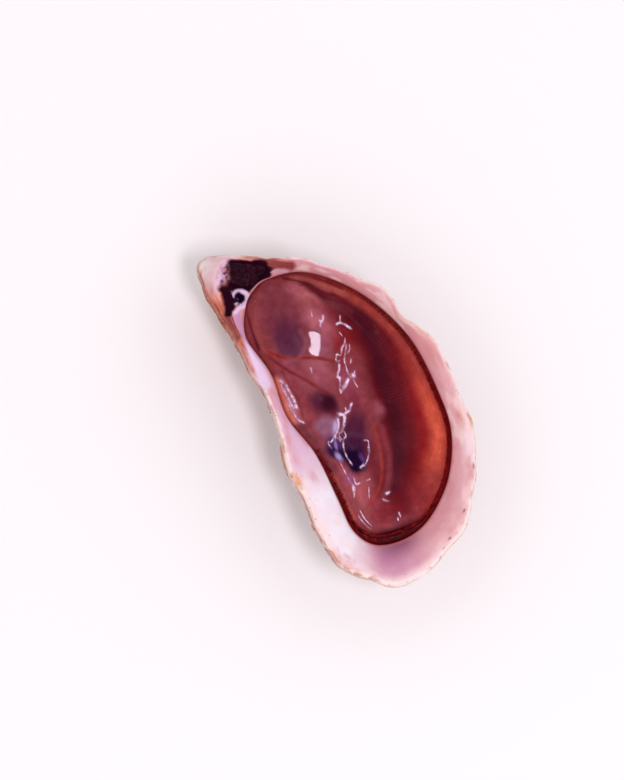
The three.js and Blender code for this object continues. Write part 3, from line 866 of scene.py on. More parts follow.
# Each triple is the least of the groove, and what the free edge and the lip add to it.
GROOVE_WIDTHS, GROOVE_DEPTHS = (0.25, 0.35, 1.0), (0.3, 0.4, 0.7)
SWELLINGS = {  # place, half lengths, turn and height in millimetres
    "visceral_mass": ((-21, 1), (16, 12), 0.25, 1.2),
    "digestive_gland": ((-21.8, -4.8), (7, 6), 0, 0.3),
    "heart_hollow": ((-2.3, -5.9), (5, 4), 0.3, -0.6),
    "muscle_end": ((4.3, -9), (4, 3.4), 0.3, 0.7),
    "muscle_hollow": ((13.3, -6.6), (6, 5), 0.2, -1.0),
    "pink_lobe": ((6.9, 4.8), (5.5, 3.5), -0.3, 0.7),
    "lower_mantle": ((22, -9), (12, 6), -0.4, 0.5),
}
FOLDS = {  # the line followed, half width and height
    "gill_furrow": (((-20, 12), (-6, 14.6), (8.5, 11), (20, 5.5), (28, -3), (30, -10)), 6.5, -0.5),
    "mantle_flap": (((-34.2, 3.7), (-26.9, 9), (-19.7, 13.8), (-12, 17)), 3, 0.5),
    "body_ridge": (((-16, 9.8), (-6.9, 4.4), (1.9, 3.4)), 5, 0.3),
    "body_fold": (((-18.1, -13.1), (-13.9, -5.8), (-9.3, 2.2)), 3.2, -0.4),
    "heart_fold": (((-16.9, -11.8), (-8.9, -5.9), (-1.4, -3)), 4, 0.25),
    "gill_edge": (((9, 2), (14.1, 0.4), (19.9, -2.8), (26.2, -10.1)), 3.2, 0.14),
    "left_roll": (((-20, -12.5), (-12.9, -13), (-4.5, -13)), 3, 0.6),
}


def groove_width(t):
    """Width of the liquor's groove between shell and mantle: widest at the lip."""
    least, free, lip = GROOVE_WIDTHS
    return least + free * free_share(t) + lip * bell(away_from(t, LIP_T + 0.02), 0.11)


def groove_depth(t):
    """Depth of that groove: deepest at the lip too."""
    least, free, lip = GROOVE_DEPTHS
    return least + free * free_share(t) + lip * bell(away_from(t, LIP_T + 0.03), 0.15)


def oval(plan, place, half, turn=0.0):
    """0 at the middle of a turned ellipse and 1 at its edge."""
    dx, dy = np.moveaxis(plan - np.array(place), -1, 0)
    u = (dx * np.cos(turn) + dy * np.sin(turn)) / half[0]
    v = (dy * np.cos(turn) - dx * np.sin(turn)) / half[1]
    return np.hypot(u, v)


print("swellings:", len(SWELLINGS), "folds:", len(FOLDS))

# %% [markdown]
# The flesh is a stack of rings too. They stand close where the mantle's edge curls, and wide
# over the body. Its underside follows the hollow at a small gap.

# %% Build the flesh
FLESH_COLUMNS, UNDER_ROWS, GROOVE_ROWS, EDGE_ROWS, INNER_ROWS = 520, 12, 8, 26, 112
EDGE_BREADTH = 3.0
flesh_t = (np.arange(FLESH_COLUMNS) / FLESH_COLUMNS)[None, :]


def flesh_rows():
    """out for each row of the upper face: the groove, then closely over the mantle's edge,
    then inwards."""
    width = groove_width(flesh_t)
    up = np.linspace(0, 1, GROOVE_ROWS)[:, None]
    groove = mix(wall_out(groove_depth(flesh_t)), out_at(flesh_t, width), up)
    edge = out_at(flesh_t, width + EDGE_BREADTH * np.linspace(0, 1, EDGE_ROWS)[1:, None] ** 1.2)
    inner = edge[-1:] * np.linspace(1, 0, INNER_ROWS)[1:-1, None]
    return np.concatenate([groove, edge, inner])


def flesh_relief(t, out, plan, furrow_share=1.0):
    """Height over the liquor: the groove, the mantle's climb out of it, then every swelling and
    fold. A film that bridges the furrows asks for a share of their depth."""
    inset = (1 - out) * spine_reach(t) - groove_width(t)
    free = free_share(t)
    climb = 1 - bell(np.maximum(inset, 0), mix(*MANTLE_SLOPE[::-1], 1 - free))
    body = mix(*MANTLE_RISE, np.maximum(free, rise(inset, 1, 6))) + 0.2 * bell(np.abs(inset - 4), 4)
    for place, half, turn, height in SWELLINGS.values():
        body = body + height * bell(oval(plan, place, half, turn), 1)
    for line, half, height in FOLDS.values():
        body = body + height * (furrow_share if height < 0 else 1) * bell(near_line(plan, line)[0], half)
    return mix(-groove_depth(t), body, climb), inset


upper_out = flesh_rows()
upper_t = np.broadcast_to(flesh_t, upper_out.shape)
upper_plan = hollow_plan(upper_t, upper_out, HAIR)
upper_relief, upper_inset = flesh_relief(upper_t, upper_out, hollow_plan(upper_t, upper_out))
upper_height = LIQUOR_LEVEL + upper_relief
upper = np.concatenate([upper_plan, upper_height[..., None]], -1)
under_turn = np.linspace(0, np.pi / 2, UNDER_ROWS + 2)[1:-1, None]
under = hollow_points(flesh_t, np.sin(under_turn) * wall_out(groove_depth(flesh_t)), GAP)
flesh_grid = np.concatenate([under, upper])
middle_height = upper[-1, :, 2].mean()
flesh_poles = [np.append(BASE_CENTRE, CAVITY_FLOOR + GAP), np.append(BASE_CENTRE, middle_height)]
print("flesh rises to", upper_height.max().round(2), "mm")

# %% [markdown]
# ## The colours of the flesh
# The flesh is a stack of thin wet layers, so its colours run into each other: brown-pink over
# the body, grey-purple where the gland shines through, deep red over the gills, orange-red on
# the mantle and nearly black at its frilled edge. First come the patches, each an oval with a
# soft edge.

# %% Patches of colour
PATCHES = (  # place, half lengths, turn, colour and strength, from the ground up
    ((-27.0, 1.0), (15, 13), 0.3, (0.27, 0.052, 0.068), 1.0),
    ((-31.5, -1.0), (9, 6), 1.0, (0.20, 0.036, 0.052), 0.9),
    ((-28.5, 6.5), (7.5, 4.5), 0.7, (0.42, 0.110, 0.128), 1.0),
    ((-19.5, 4.5), (6.8, 4.4), 0.2, (0.40, 0.100, 0.135), 1.1),
    ((-22.4, 3.9), (3.6, 3.2), 0.3, (0.47, 0.135, 0.175), 0.8),
    ((-24.0, -3.5), (8.5, 6.0), 0.3, (0.150, 0.027, 0.052), 1.1),
    ((-18.8, -4.4), (4.8, 3.8), 0.2, (0.15, 0.030, 0.062), 0.8),
    ((-19.6, -5.2), (4.7, 4.3), 0.2, (0.130, 0.030, 0.066), 3.0),
    ((-21.6, -4.6), (5.2, 4.2), 0.2, (0.105, 0.018, 0.048), 1.1),
    ((-14.8, 1.6), (6.5, 3.6), -0.4, (0.30, 0.078, 0.120), 0.9),
    ((-10.0, -2.6), (7.5, 4.6), -0.15, (0.37, 0.092, 0.125), 1.1),
    ((-13.0, -8.5), (6.5, 3.6), 0.3, (0.29, 0.060, 0.085), 0.9),
    ((-8.0, -11.5), (8.5, 2.8), 0.1, (0.27, 0.044, 0.062), 1.0),
    ((-2.6, 1.9), (7, 2.8), -0.2, (0.34, 0.068, 0.115), 1.0),
    ((3.2, 0.6), (7, 3.2), -0.3, (0.22, 0.026, 0.044), 1.0),
    ((20.0, -10.2), (12, 5.2), -0.30, (0.38, 0.085, 0.098), 1.2),
    ((30.5, -9.0), (6.5, 4.6), -0.6, (0.24, 0.022, 0.032), 1.0),
    ((33.0, -3.8), (6.0, 5.4), 0.2, (0.165, 0.009, 0.015), 1.0),
    ((33.2, 1.8), (4.6, 4.4), 0.0, (0.24, 0.015, 0.019), 0.8),
    ((17.0, -3.5), (9, 2.6), -0.5, (0.17, 0.014, 0.024), 0.9),
    ((7.4, 5.0), (3.4, 2.6), -0.3, (0.34, 0.075, 0.110), 0.9),
    ((4.4, -13.2), (9, 2.4), 0.0, (0.25, 0.046, 0.062), 1.1),
    ((-2.0, -6.5), (5.6, 4.4), 0.15, (0.110, 0.016, 0.042), 1.5),
    ((-0.9, -5.2), (3.8, 3.0), 0.3, (0.052, 0.004, 0.016), 1.4),
    ((9.0, -3.4), (7.4, 5.2), -0.5, (0.088, 0.011, 0.038), 1.5),
    ((12.6, -6.6), (6.4, 4.6), -0.3, (0.062, 0.009, 0.042), 1.5),
    ((4.0, -9.3), (3.9, 3.3), 0.35, (0.29, 0.112, 0.185), 2.6),
    ((4.9, -7.4), (2.9, 1.1), -0.77, (0.46, 0.34, 0.56), 1.1),
    ((9.6, -10.0), (4.4, 2.8), 0.1, (0.070, 0.020, 0.105), 1.7),
    ((11.4, -10.6), (4.4, 2.2), 0.55, (0.030, 0.006, 0.045), 1.6),
    ((15.3, -7.8), (4.5, 3.6), -0.1, (0.012, 0.001, 0.022), 1.9),
    ((15.9, -5.9), (2.4, 0.9), -0.1, (0.13, 0.040, 0.190), 0.9),
    ((12.3, -10.9), (1.9, 0.9), -0.1, (0.36, 0.28, 0.56), 1.3),
    ((18.5, -11.4), (3.4, 2.0), 0.2, (0.32, 0.085, 0.19), 1.0),
    ((9.2, -9.6), (1.9, 0.6), -0.3, (0.26, 0.18, 0.42), 1.2),
)


def patch_layers(plan, uneven):
    """Every patch with its edge moved about a little."""
    wobbled = plan + 0.7 * np.stack([uneven, rough(flat_points(plan), 5, 83)], -1)
    for place, half, turn, colour, share in PATCHES:
        yield colour, bell(oval(wobbled, place, half, turn), 1.15) * share


print("patches:", len(PATCHES))

# %% [markdown]
# Folds and edges show as lines of colour. The broad dark ones over the gills, their deep red
# deepened by painted shade in the furrow, go under the patches, and the fine ones go over
# them. Of these the dark ones are painted shade in creases and under overlapping edges, and
# the orange and brown ones are the flesh's own colour.

# %% Lines of colour
# Partly the gills' own deep red, and partly painted shade in the furrow over them.
GILL_RED_AND_FURROW_SHADE = (  # the line followed, half width, colour and strength
    (((-21.0, 12.6), (-14.2, 14.6), (-8, 14.6), (-3, 13.0), (2.5, 11.2), (8.2, 9.2), (16.5, 5.6),
      (22.5, 1.2), (27.5, -4.2)), 8.0, (0.120, 0.005, 0.010), 1.5),
    (((-20.6, 13.2), (-14.2, 14.6), (-9, 14.0), (-3, 12.2), (1.5, 10.4), (8.2, 8.8), (16.5, 5.2),
      (22.5, 0.6), (27.5, -4.8)), 3.8, (0.070, 0.003, 0.010), 1.2),
    (((-29.0, 8.9), (-26.0, 10.4), (-23.8, 12.0), (-20.6, 13.4), (-16, 14.6), (-9, 14.6)),
     2.6, (0.070, 0.003, 0.011), 1.2),
)
# The dark lines here are painted shade in creases and under overlapping edges; the orange and brown ones are
# the flesh's own colour.
SEAM_COLOUR_AND_CREASE_SHADE = (  # likewise
    (((10.3, 1.7), (17.9, -1.1), (24.4, -5.7), (27.4, -12.1)), 0.9, (0.34, 0.040, 0.034), 0.7),
    (((12.2, 2.9), (19.4, 0.4), (25.8, -4.4), (28.6, -9.6)), 1.8, (0.27, 0.040, 0.058), 0.7),
    (((-35.4, 3.4), (-32.0, 6.8), (-28.9, 8.7), (-26.0, 10.3), (-23.8, 12.3), (-20.6, 13.8)),
     0.8, (0.085, 0.004, 0.009), 0.9),
    (((-37.0, 1.6), (-35.4, 6.0), (-32.4, 9.4), (-28.4, 12.4), (-24.6, 14.6)),
     1.2, (0.13, 0.008, 0.012), 0.8),
    (((-31.4, 7.2), (-27.4, 8.8), (-24.4, 9.9), (-21.6, 11.9), (-18.3, 13.3)),
     2.3, (0.110, 0.007, 0.014), 1.1),
    (((-34.4, 5.4), (-31.0, 8.9), (-27.0, 12.2), (-22.3, 15.2)), 1.1, (0.38, 0.090, 0.072), 0.8),
    (((-22.0, -11.6), (-17.9, -8.6), (-15.0, -4.3), (-12.4, -0.6), (-9.6, 2.2)),
     0.65, (0.26, 0.022, 0.016), 1.2),
    (((-20.8, -11.9), (-14.3, -9.4), (-8.6, -6.4), (-3.8, -4.2)), 0.8, (0.20, 0.018, 0.022), 1.0),
    (((-35.0, -4.2), (-32.0, -8.4), (-27.5, -10.2), (-22.5, -11.6), (-18.4, -12.6)),
     1.3, (0.30, 0.062, 0.058), 0.6),
    (((-37.3, -3.0), (-34.9, -8.7), (-28.8, -11.3), (-22.9, -12.8)), 0.7, (0.13, 0.012, 0.018), 1.0),
    (((-1.0, -15.2), (4.0, -14.4), (8.8, -14.0), (14.0, -13.6)), 1.9, (0.190, 0.045, 0.056), 0.9),
    (((9.6, -15.3), (11.6, -15.1), (14.2, -14.9)), 0.9, (0.055, 0.003, 0.010), 1.4),
    (((15.4, -14.9), (19.0, -15.4), (23.7, -16.2), (28.0, -16.8)), 1.3, (0.44, 0.090, 0.078), 0.8),
    (((-13.6, -13.0), (-10.4, -13.4), (-7.4, -13.9), (-4.6, -14.3), (-2.2, -14.8)),
     2.3, (0.46, 0.150, 0.185), 0.9),
    (((-14.0, -13.5), (-10.8, -14.3), (-7.9, -14.9), (-4.8, -15.5), (-2.6, -15.8)),
     1.5, (0.72, 0.215, 0.150), 1.2),
    (((-15.0, -10.9), (-11.0, -11.2), (-6.0, -11.6), (-1.5, -13.0)), 0.6, (0.22, 0.034, 0.040), 0.9),
    (((-21.4, -0.9), (-17.8, -1.6), (-15.6, -4.6), (-16.3, -8.6)), 1.0, (0.33, 0.085, 0.115), 0.45),
)


def line_layers(lines, plan, wobble):
    """Every line with its edge moved about by the wobble."""
    for line, half, colour, share in lines:
        yield colour, bell(near_line(plan, line)[0] + wobble, half) * share


print("lines of colour:", len(GILL_RED_AND_FURROW_SHADE) + len(SEAM_COLOUR_AND_CREASE_SHADE))

# %% [markdown]
# The mantle's edge has bands of its own, red and then orange on the bulging side, and a dark
# frill where it stands free. All of it is stored as one colour for each vertex.

# %% Lay the colours of the flesh
FLESH_GROUND = np.array([0.26, 0.046, 0.058])
RIM, LIP_RIM = np.array([0.27, 0.008, 0.009]), np.array([0.085, 0.003, 0.006])


def band_layers(t, inset, uneven, bulge, glow):
    """The bands along the mantle: a deep red one far in, and a red and an orange one that glow."""
    yield (0.24, 0.014, 0.017), bell(np.maximum(inset - 7, 0), 6.5) * bulge * 1.4
    yield (0.28, 0.012, 0.014), bell(np.abs(inset - 5.0), 5.6) * glow * (1.1 + 0.3 * uneven)
    yield (0.64, 0.104, 0.056), bell(np.abs(inset - 2.9), 3.5) * glow * (1.0 + 0.4 * uneven)


def rim_layers(t, inset, uneven):
    """The dark frill, darkest at the lip, and the brown shore where the flesh meets the shell."""
    lip_share = bell(away_from(t, 0.545), 0.10)
    yield (0.035, 0.001, 0.004), bell(np.abs(inset - 0.5), 1.9) * lip_share * 1.3
    rim = (1 - rise(inset + 0.2 * uneven, 0.0, mix(0.8, 1.2, lip_share))) * free_share(t)
    yield mix(RIM, LIP_RIM, lip_share[..., None]), rim
    shore = (1 - rise(inset, -0.1, 0.9)) * (1 - free_share(t))
    yield (0.22, 0.030, 0.032), 0.6 * shore


def flesh_layers(t, plan, inset):
    """Every layer of the flesh in turn."""
    uneven = rough(flat_points(plan), 6, 81)
    bulge = rise(np.mod(t, 1), 0.08, 0.17) * (1 - rise(np.mod(t, 1), 0.40, 0.53))
    glow = bell(away_from(t, 0.357), 0.115)
    yield from band_layers(t, inset, uneven, bulge, glow)
    yield from line_layers(GILL_RED_AND_FURROW_SHADE, plan, 0.3 * uneven)
    yield (0.33, 0.044, 0.037), bell(np.abs(inset - 1.4), 2.9) * bulge * (1 - glow) * 1.4
    yield from patch_layers(plan, uneven)
    yield from line_layers(SEAM_COLOUR_AND_CREASE_SHADE, plan, 0.15 * uneven)
    yield from rim_layers(t, inset, uneven)


print("darkest at the lip:", LIP_RIM)

# %% [markdown]
# The flesh gets its colours and four more numbers, along which the finish lays stripes over
# the gills, and rays and painted highlights in streaks over the mantle.

# %% Numbers for the flesh's finish
UNDERSIDE = (0.05, 0.002, 0.006)
GILL_STEP, ROUND_STEP, FAR_OFF = 70, 190, 30  # stretch of stripes and rays, and far from the gills

flat_plan = hollow_plan(upper_t, upper_out)
upper_tint = paint(FLESH_GROUND, flesh_layers(upper_t, flat_plan, upper_inset))
gill_off, gill_run = near_line(flat_plan, FOLDS["gill_furrow"][0])


def flesh_reads():
    """The colour, and the places along and across the gills and the mantle that streaks follow."""
    low = under[..., 0].size

    def joined(values, fill):
        """One number for all vertices: the underside and its pole are filled."""
        return np.concatenate([np.full(low, fill), values.ravel(), [fill, values[-1].mean()]])

    colours = np.concatenate([np.tile(UNDERSIDE, (low, 1)), upper_tint.reshape(-1, 3),
                              [UNDERSIDE], upper_tint[-1].mean(axis=0, keepdims=True)])
    return {
        "flesh_tint": colours,
        "gill_run": joined(gill_run * GILL_STEP, 0),
        "gill_off": joined(gill_off, FAR_OFF),
        "inset": joined(upper_inset, 0),
        "round": joined(upper_t * ROUND_STEP, 0),
    }


oyster_flesh = outward(ring_mesh("oyster_flesh", flesh_grid, flesh_poles, flesh_reads()))
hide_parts("oyster_meat")

# %% [markdown]
# ## The liquor and the wet film
# Round the mantle the liquor stands as a narrow moat, level, and climbing a little where it
# wets the shell. Over the flesh it is only a film, but the film is what the eye sees as
# wetness: it rounds off the folds, pools in the hollows and draws the bright streaks. So
# both are real surfaces, each a closed skin with a smooth upper face.


# %% Build the moat
LIQUOR_TOP_ROWS = 14


def liquor_grid():
    """The moat's section: a level top that turns up by a hair at both shores, and a bed below."""
    width = groove_width(flesh_t)
    bed = np.maximum(groove_depth(flesh_t) - 0.4, 0.15)
    top_share = np.linspace(0, 1, LIQUOR_TOP_ROWS)[:, None]
    top_out = mix(1 - 0.04 / spine_reach(flesh_t), out_at(flesh_t, width + GAP), top_share)
    top_depth = 0.05 - 0.05 * np.abs(2 * top_share - 1) ** 4 + 0 * width
    low_out = np.concatenate([out_at(flesh_t, width), out_at(flesh_t, width * 0.7),
                              wall_out(bed) - 0.01, wall_out(bed / 2) - 0.004])
    low_depth = np.concatenate([0.8 * bed, bed, bed, bed / 2])
    out, depth = np.concatenate([top_out, low_out]), np.concatenate([top_depth, low_depth])
    plan = hollow_plan(np.broadcast_to(flesh_t, out.shape), out)
    return np.concatenate([plan, LIQUOR_LEVEL - depth[..., None]], -1)


liquor_points = liquor_grid()
liquor_row = np.arange(len(liquor_points))
top_middle = (LIQUOR_TOP_ROWS - 1) / 2
shore_fade = bell(np.abs(liquor_row - top_middle), top_middle - 1)
liquor_gloss = np.where(liquor_row < LIQUOR_TOP_ROWS, shore_fade, 0.0)
liquor_reads = {"gloss": np.repeat(liquor_gloss, FLESH_COLUMNS)}
oyster_liquor = outward(torus_mesh("oyster_liquor", liquor_points, liquor_reads))
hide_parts("liquor")

# %% [markdown]
# The film follows the flesh at a tenth of a millimetre, rises to a level of its own in the
# hollows, and is gathered here and there into thin ridges, where its skin has been dragged.
# The finish paints these ridges milky white, as painted highlights.

# %% Pools and strands of the film
FILM_POOLS = (  # place, half lengths, level over the liquor, and its slope in x and y
    (13.4, -6.8, 4.6, 3.8, -0.55, 0.0, 0.0), (-2.3, -5.8, 4.4, 3.6, -0.3, 0.0, 0.0),
    (-16.4, 0.6, 5.0, 3.6, 2.02, -0.118, 0.048))
# Each ridge is painted milky white in the finish: a painted highlight for the lamp's glints.
GLINT_STRAND_RIDGES = (  # half width, and the line followed
    (0.45, ((-18.8, 4.1), (-19.9, 4.8), (-20.4, 5.9), (-21.5, 6.6))),
    (0.35, ((-19.9, 4.8), (-20.8, 5.1))),
    (0.30, ((-11.7, -3.8), (-10.2, -4.5))),
    (0.45, ((-17.2, 8.0), (-17.2, 9.3), (-15.9, 10.4))),
    (0.60, ((-15.9, 10.2), (-14.3, 10.9))),
    (0.25, ((-17.2, 9.3), (-18.8, 10.3))),
    (0.25, ((-15.5, 7.6), (-13.9, 7.7))),
    (0.34, ((-13.0, 8.1), (-12.0, 7.2), (-11.3, 5.9), (-10.0, 4.6), (-10.7, 3.7), (-9.2, 2.8),
            (-8.9, 3.8))),
    (0.36, ((-8.4, 3.1), (-7.3, 2.3), (-6.0, 1.0), (-4.6, 0.7), (-2.8, -0.4), (-1.4, -1.1))),
    (0.60, ((-5.9, 0.4), (-5.0, 1.2))),
    (0.32, ((-11.7, 7.6), (-9.9, 6.1), (-8.3, 4.7), (-6.2, 4.0), (-4.2, 3.6), (-3.2, 3.9))),
    (0.70, ((-4.1, 4.2), (-3.2, 4.6))),
    (0.26, ((-3.8, 4.8), (-4.4, 5.4))),
    (0.70, ((-3.7, 3.0), (-3.0, 1.7), (-2.2, 0.1))),
    (0.30, ((-2.2, 0.1), (-1.4, -1.1))),
    (0.30, ((-2.9, 3.7), (-1.4, 3.7), (-0.4, 3.7))),
    (0.26, ((-11.0, 8.2), (-9.8, 7.3), (-9.3, 6.3))),
    (0.24, ((-7.6, 6.4), (-6.8, 5.6))),
    (0.55, ((2.2, 0.1), (2.8, -0.7), (3.5, -1.6), (3.6, -3.3))),
    (0.28, ((2.2, -2.1), (3.3, -2.3))),
    (0.62, ((2.7, -4.6), (3.7, -3.5), (5.7, -4.8), (6.9, -6.2))),
    (0.26, ((6.9, -6.2), (7.4, -7.5), (8.9, -7.5), (8.6, -6.2), (7.2, -5.8))),
    (0.34, ((9.1, -7.3), (11.2, -8.4), (13.4, -8.9), (15.9, -9.0))),
    (0.28, ((9.0, -7.9), (7.7, -8.3), (7.6, -10.1), (7.6, -11.1), (9.1, -11.1))),
    (0.45, ((7.3, -9.0), (5.7, -6.7), (3.5, -5.2))),
    (0.34, ((12.3, -2.8), (12.9, -1.9), (14.8, -2.9), (16.7, -4.4), (17.8, -6.1))),
    (0.55, ((17.6, -6.2), (17.7, -7.6))),
    (0.26, ((13.7, -11.3), (16.3, -11.7), (19.4, -11.9), (21.5, -12.0), (23.3, -13.5))),
    (0.40, ((20.6, -12.0), (22.4, -12.8))),
    (0.36, ((18.9, -10.6), (20.6, -10.9), (20.9, -10.0))),
    (0.30, ((21.3, -8.1), (21.7, -7.1))),
    (0.20, ((23.1, -8.6), (25.6, -10.1))),
    (0.50, ((27.2, -5.7), (27.3, -4.5))),
    (0.42, ((27.9, -7.3), (29.2, -6.2))),
    (0.26, ((26.9, -14.1), (29.7, -14.1), (32.2, -13.6))),
    (0.22, ((27.7, -15.2), (30.5, -14.9), (32.7, -14.4))),
    (0.26, ((33.9, -6.6), (34.9, -6.9))),
    (0.24, ((34.6, -6.0), (33.0, -5.6))),
    (0.62, ((-14.0, -13.0), (-11.6, -12.1), (-8.7, -12.2), (-6.2, -12.6), (-4.4, -13.2))),
    (0.45, ((-12.6, -13.0), (-9.8, -13.2), (-7.0, -13.6), (-4.3, -13.9))),
    (0.40, ((-7.6, -14.1), (-4.6, -14.4), (-2.0, -14.2), (-0.3, -13.4))),
    (0.20, ((-24.0, 4.4), (-22.5, 3.9))),
)

print("pools:", len(FILM_POOLS), "strands:", len(GLINT_STRAND_RIDGES))

# %% [markdown]
# A strand stands only a tenth of a millimetre over the film, and the milky white on it is a
# painted highlight. Its line is wobbled and its breadth uneven, or it would look drawn with a
# pen.

# %% Height of the film
FILM_LIFT, STRAND_LIFT, EDGE_DIP, FILM_SINK = 0.1, 0.10, 0.05, 0.15  # in millimetres


def film_height(plan, relief, inset):
    """The flesh, smoothly joined with the level of each pool, plus the strands and a slow swell,
    and how much of a strand, which also carries the painted highlight, stands at each place."""
    height = relief + FILM_LIFT
    flat = flat_points(plan)
    height = height + 0.05 * rough(flat, 5, 91) * rise(inset, 1, 3)
    for x, y, half_x, half_y, level, slope_x, slope_y in FILM_POOLS:
        share = bell(oval(plan, (x, y), (half_x, half_y)), 1.25)
        plane = level + slope_x * (plan[..., 0] - x) + slope_y * (plan[..., 1] - y)
        height = mix(height, np.maximum(height, plane), rise(share, 0.0, 0.5))
    strand_glint = np.zeros_like(height)
    wobble = plan + 0.16 * np.stack([rough(flat, 1.2, 300), rough(flat, 1.2, 340)], -1)
    breadth = 1.0 + 0.5 * np.clip(rough(flat, 1.1, 360), -0.7, 1)
    for half, line in GLINT_STRAND_RIDGES:
        away, along = near_line(wobble, line, 30)
        ends = rise(0.5 - np.abs(along - 0.5), -0.04, 0.08)
        strand_glint = np.maximum(strand_glint, bell(away, half * breadth) * ends)
    return height + STRAND_LIFT * strand_glint, strand_glint


print("a strand stands", STRAND_LIFT, "mm over the film")

# %% [markdown]
# In one place the film stands thick, as a bead, and there it mirrors the lamp clearly. The
# film's skin is closed by an underside that lies a little inside the flesh.

# %% Build the film
FILM_ROWS, FILM_UNDER_ROWS = 149, 30
FILM_INSET, FURROW_SHARE = 0.9, 0.35  # where its edge lies, and how much of a furrow it still follows
BEAD, BEAD_HALF = ((-18.7, 1.9), (-16.9, 1.2), (-15.4, 0.1), (-14.2, -1.4)), 1.75


def film_skin(rows):
    """The film's rings from its edge inwards: their plan, the flesh's relief there, the same
    with its furrows bridged, and how far in they lie."""
    out = out_at(flesh_t, groove_width(flesh_t) + FILM_INSET) * np.linspace(1, 0, rows + 1)[:-1, None]
    t = np.broadcast_to(flesh_t, out.shape)
    deep, _ = flesh_relief(t, out, hollow_plan(t, out))
    bridged, inset = flesh_relief(t, out, hollow_plan(t, out), FURROW_SHARE)
    return hollow_plan(t, out, HAIR), deep, bridged, inset


def at_height(plan, height):
    """Plan and height over the liquor joined into points."""
    return np.concatenate([plan, LIQUOR_LEVEL + height[..., None]], -1)


def bead_share(plan):
    """1 on the bead, with a crisp edge. Its breadth swells in one slow wave, and wanders a little."""
    off, along = near_line(plan, BEAD)
    half = BEAD_HALF * (0.88 + 0.07 * np.cos(TAU * along) + 0.04 * rough(flat_points(plan), 1.5, 95))
    return 1 - rise(off / half, 0.72, 1.0)


top_plan, _, top_relief, top_inset = film_skin(FILM_ROWS)
low_plan, low_relief, _, _ = film_skin(FILM_UNDER_ROWS)
film_top, film_strand_glint = film_height(top_plan, top_relief, top_inset)
bead_height = film_top[bead_share(top_plan) > 0.5]
print("film at the bead:", bead_height.min().round(2), "to", bead_height.max().round(2), "mm")
film_top[0] = top_relief[0] - EDGE_DIP
film_low = low_relief - FILM_SINK
film_grid = np.concatenate([at_height(low_plan, film_low)[::-1], at_height(top_plan, film_top)])
film_poles = [np.append(BASE_CENTRE, LIQUOR_LEVEL + film_low[-1].mean()),
              np.append(BASE_CENTRE, LIQUOR_LEVEL + film_top[-1].mean())]
low_count = film_low.size
film_reads = {
    "strand_glint": np.concatenate([np.zeros(low_count), film_strand_glint.ravel(), [0, 0]]),
    "gloss": np.concatenate([np.ones(low_count), rise(top_inset, 1.0, 2.6).ravel(), [1, 1]]),
    "bead": np.concatenate([np.zeros(low_count), bead_share(top_plan).ravel(), [0, 0]]),
}
wet_film = outward(ring_mesh("wet_film", film_grid, film_poles, film_reads))

# %% [markdown]
# ## The mantle's fringe
# The edge of the mantle carries a fringe of short dark feelers, two ranks deep. They are
# small cones that lean out over the moat. One cone is worked out as an array and repeated at
# every place round the edge, each with its own length and lean.


# %% Cones
def cones(bases, tips, radius, sides=6):
    """For each cone a ring of points round its base and one further up, closed by the tip and by
    the base's middle. Gives the points, the four-sided faces and the triangles."""
    axis = tips - bases
    axis /= np.linalg.norm(axis, axis=1, keepdims=True)
    side = np.cross(axis, [0.0, 0.0, 1.0])
    side /= np.linalg.norm(side, axis=1, keepdims=True)
    other = np.cross(axis, side)
    turn = np.arange(sides) * TAU / sides
    spoke = side[:, None] * np.cos(turn)[None, :, None] + other[:, None] * np.sin(turn)[None, :, None]
    low = bases[:, None] + spoke * radius[:, None, None]
    high = (bases * 0.45 + tips * 0.55)[:, None] + spoke * radius[:, None, None] * 0.62
    points = np.concatenate([low, high, tips[:, None], bases[:, None]], axis=1)
    step = np.arange(sides)
    nxt = (step + 1) % sides
    quads = np.stack([step, nxt, sides + nxt, sides + step], -1)
    tops = np.stack([sides + step, sides + nxt, np.full(sides, 2 * sides)], -1)
    bottoms = np.stack([nxt, step, np.full(sides, 2 * sides + 1)], -1)
    shift = (np.arange(len(bases)) * (2 * sides + 2))[:, None, None]
    triangles = np.concatenate([tops, bottoms])
    return points.reshape(-1, 3), (quads + shift).reshape(-1, 4), (triangles + shift).reshape(-1, 3)


print("points to a feeler:", len(cones(np.zeros((1, 3)), np.ones((1, 3)), np.ones(1))[0]))

# %% [markdown]
# The feelers stand at nearly even steps along the free edge, and dice decide how far each leans
# out, how high it reaches and how thick it is.

# %% Build the fringe
FRINGE_FROM, FRINGE_TO = 0.14, 0.74  # as t
RANKS = ((330, 0, 7), (300, 1, 8))  # feelers in a rank, its number and its seed


def fringe_cones(count, rank, seed):
    """Base, tip and radius of each feeler: bases nearly evenly spaced, tips pulled out and up by
    random shares."""
    dice = np.random.default_rng(seed)
    t = mix(FRINGE_FROM, FRINGE_TO, (np.arange(count) + dice.uniform(0.1, 0.9, count)) / count)
    width = groove_width(t)
    base_out = out_at(t, width + 0.75 + 0.5 * rank)
    tip_out = out_at(t, width - dice.uniform(0.1, 0.8, count) + 0.4 * rank)
    ends = []
    for out in (base_out, tip_out):
        plan = hollow_plan(t, out, HAIR)
        relief, _ = flesh_relief(t, out, hollow_plan(t, out))
        ends.append(np.concatenate([plan, (LIQUOR_LEVEL + relief)[:, None]], -1))
    bases, tips = ends
    bases[:, 2] -= 0.1
    tips[:, 2] += dice.uniform(0.1, 0.3, count) * free_share(t)
    return bases, tips, dice.uniform(0.12, 0.20, count) * (0.4 + 0.6 * free_share(t))


ranks = [fringe_cones(*rank) for rank in RANKS]
fringe_parts = cones(*(np.concatenate(column) for column in zip(*ranks)))
print("feelers:", sum(len(bases) for bases, *_ in ranks))
mantle_fringe = outward(mesh_object("mantle_fringe", *fringe_parts, {}))

# %% [markdown]
# ## The ligament
# Opening the shell tears the horny ligament that sprang it open. What is left is a dark wedge
# in the hinge pit, brittle and layered, so it gets a coarse, edgy bump field.

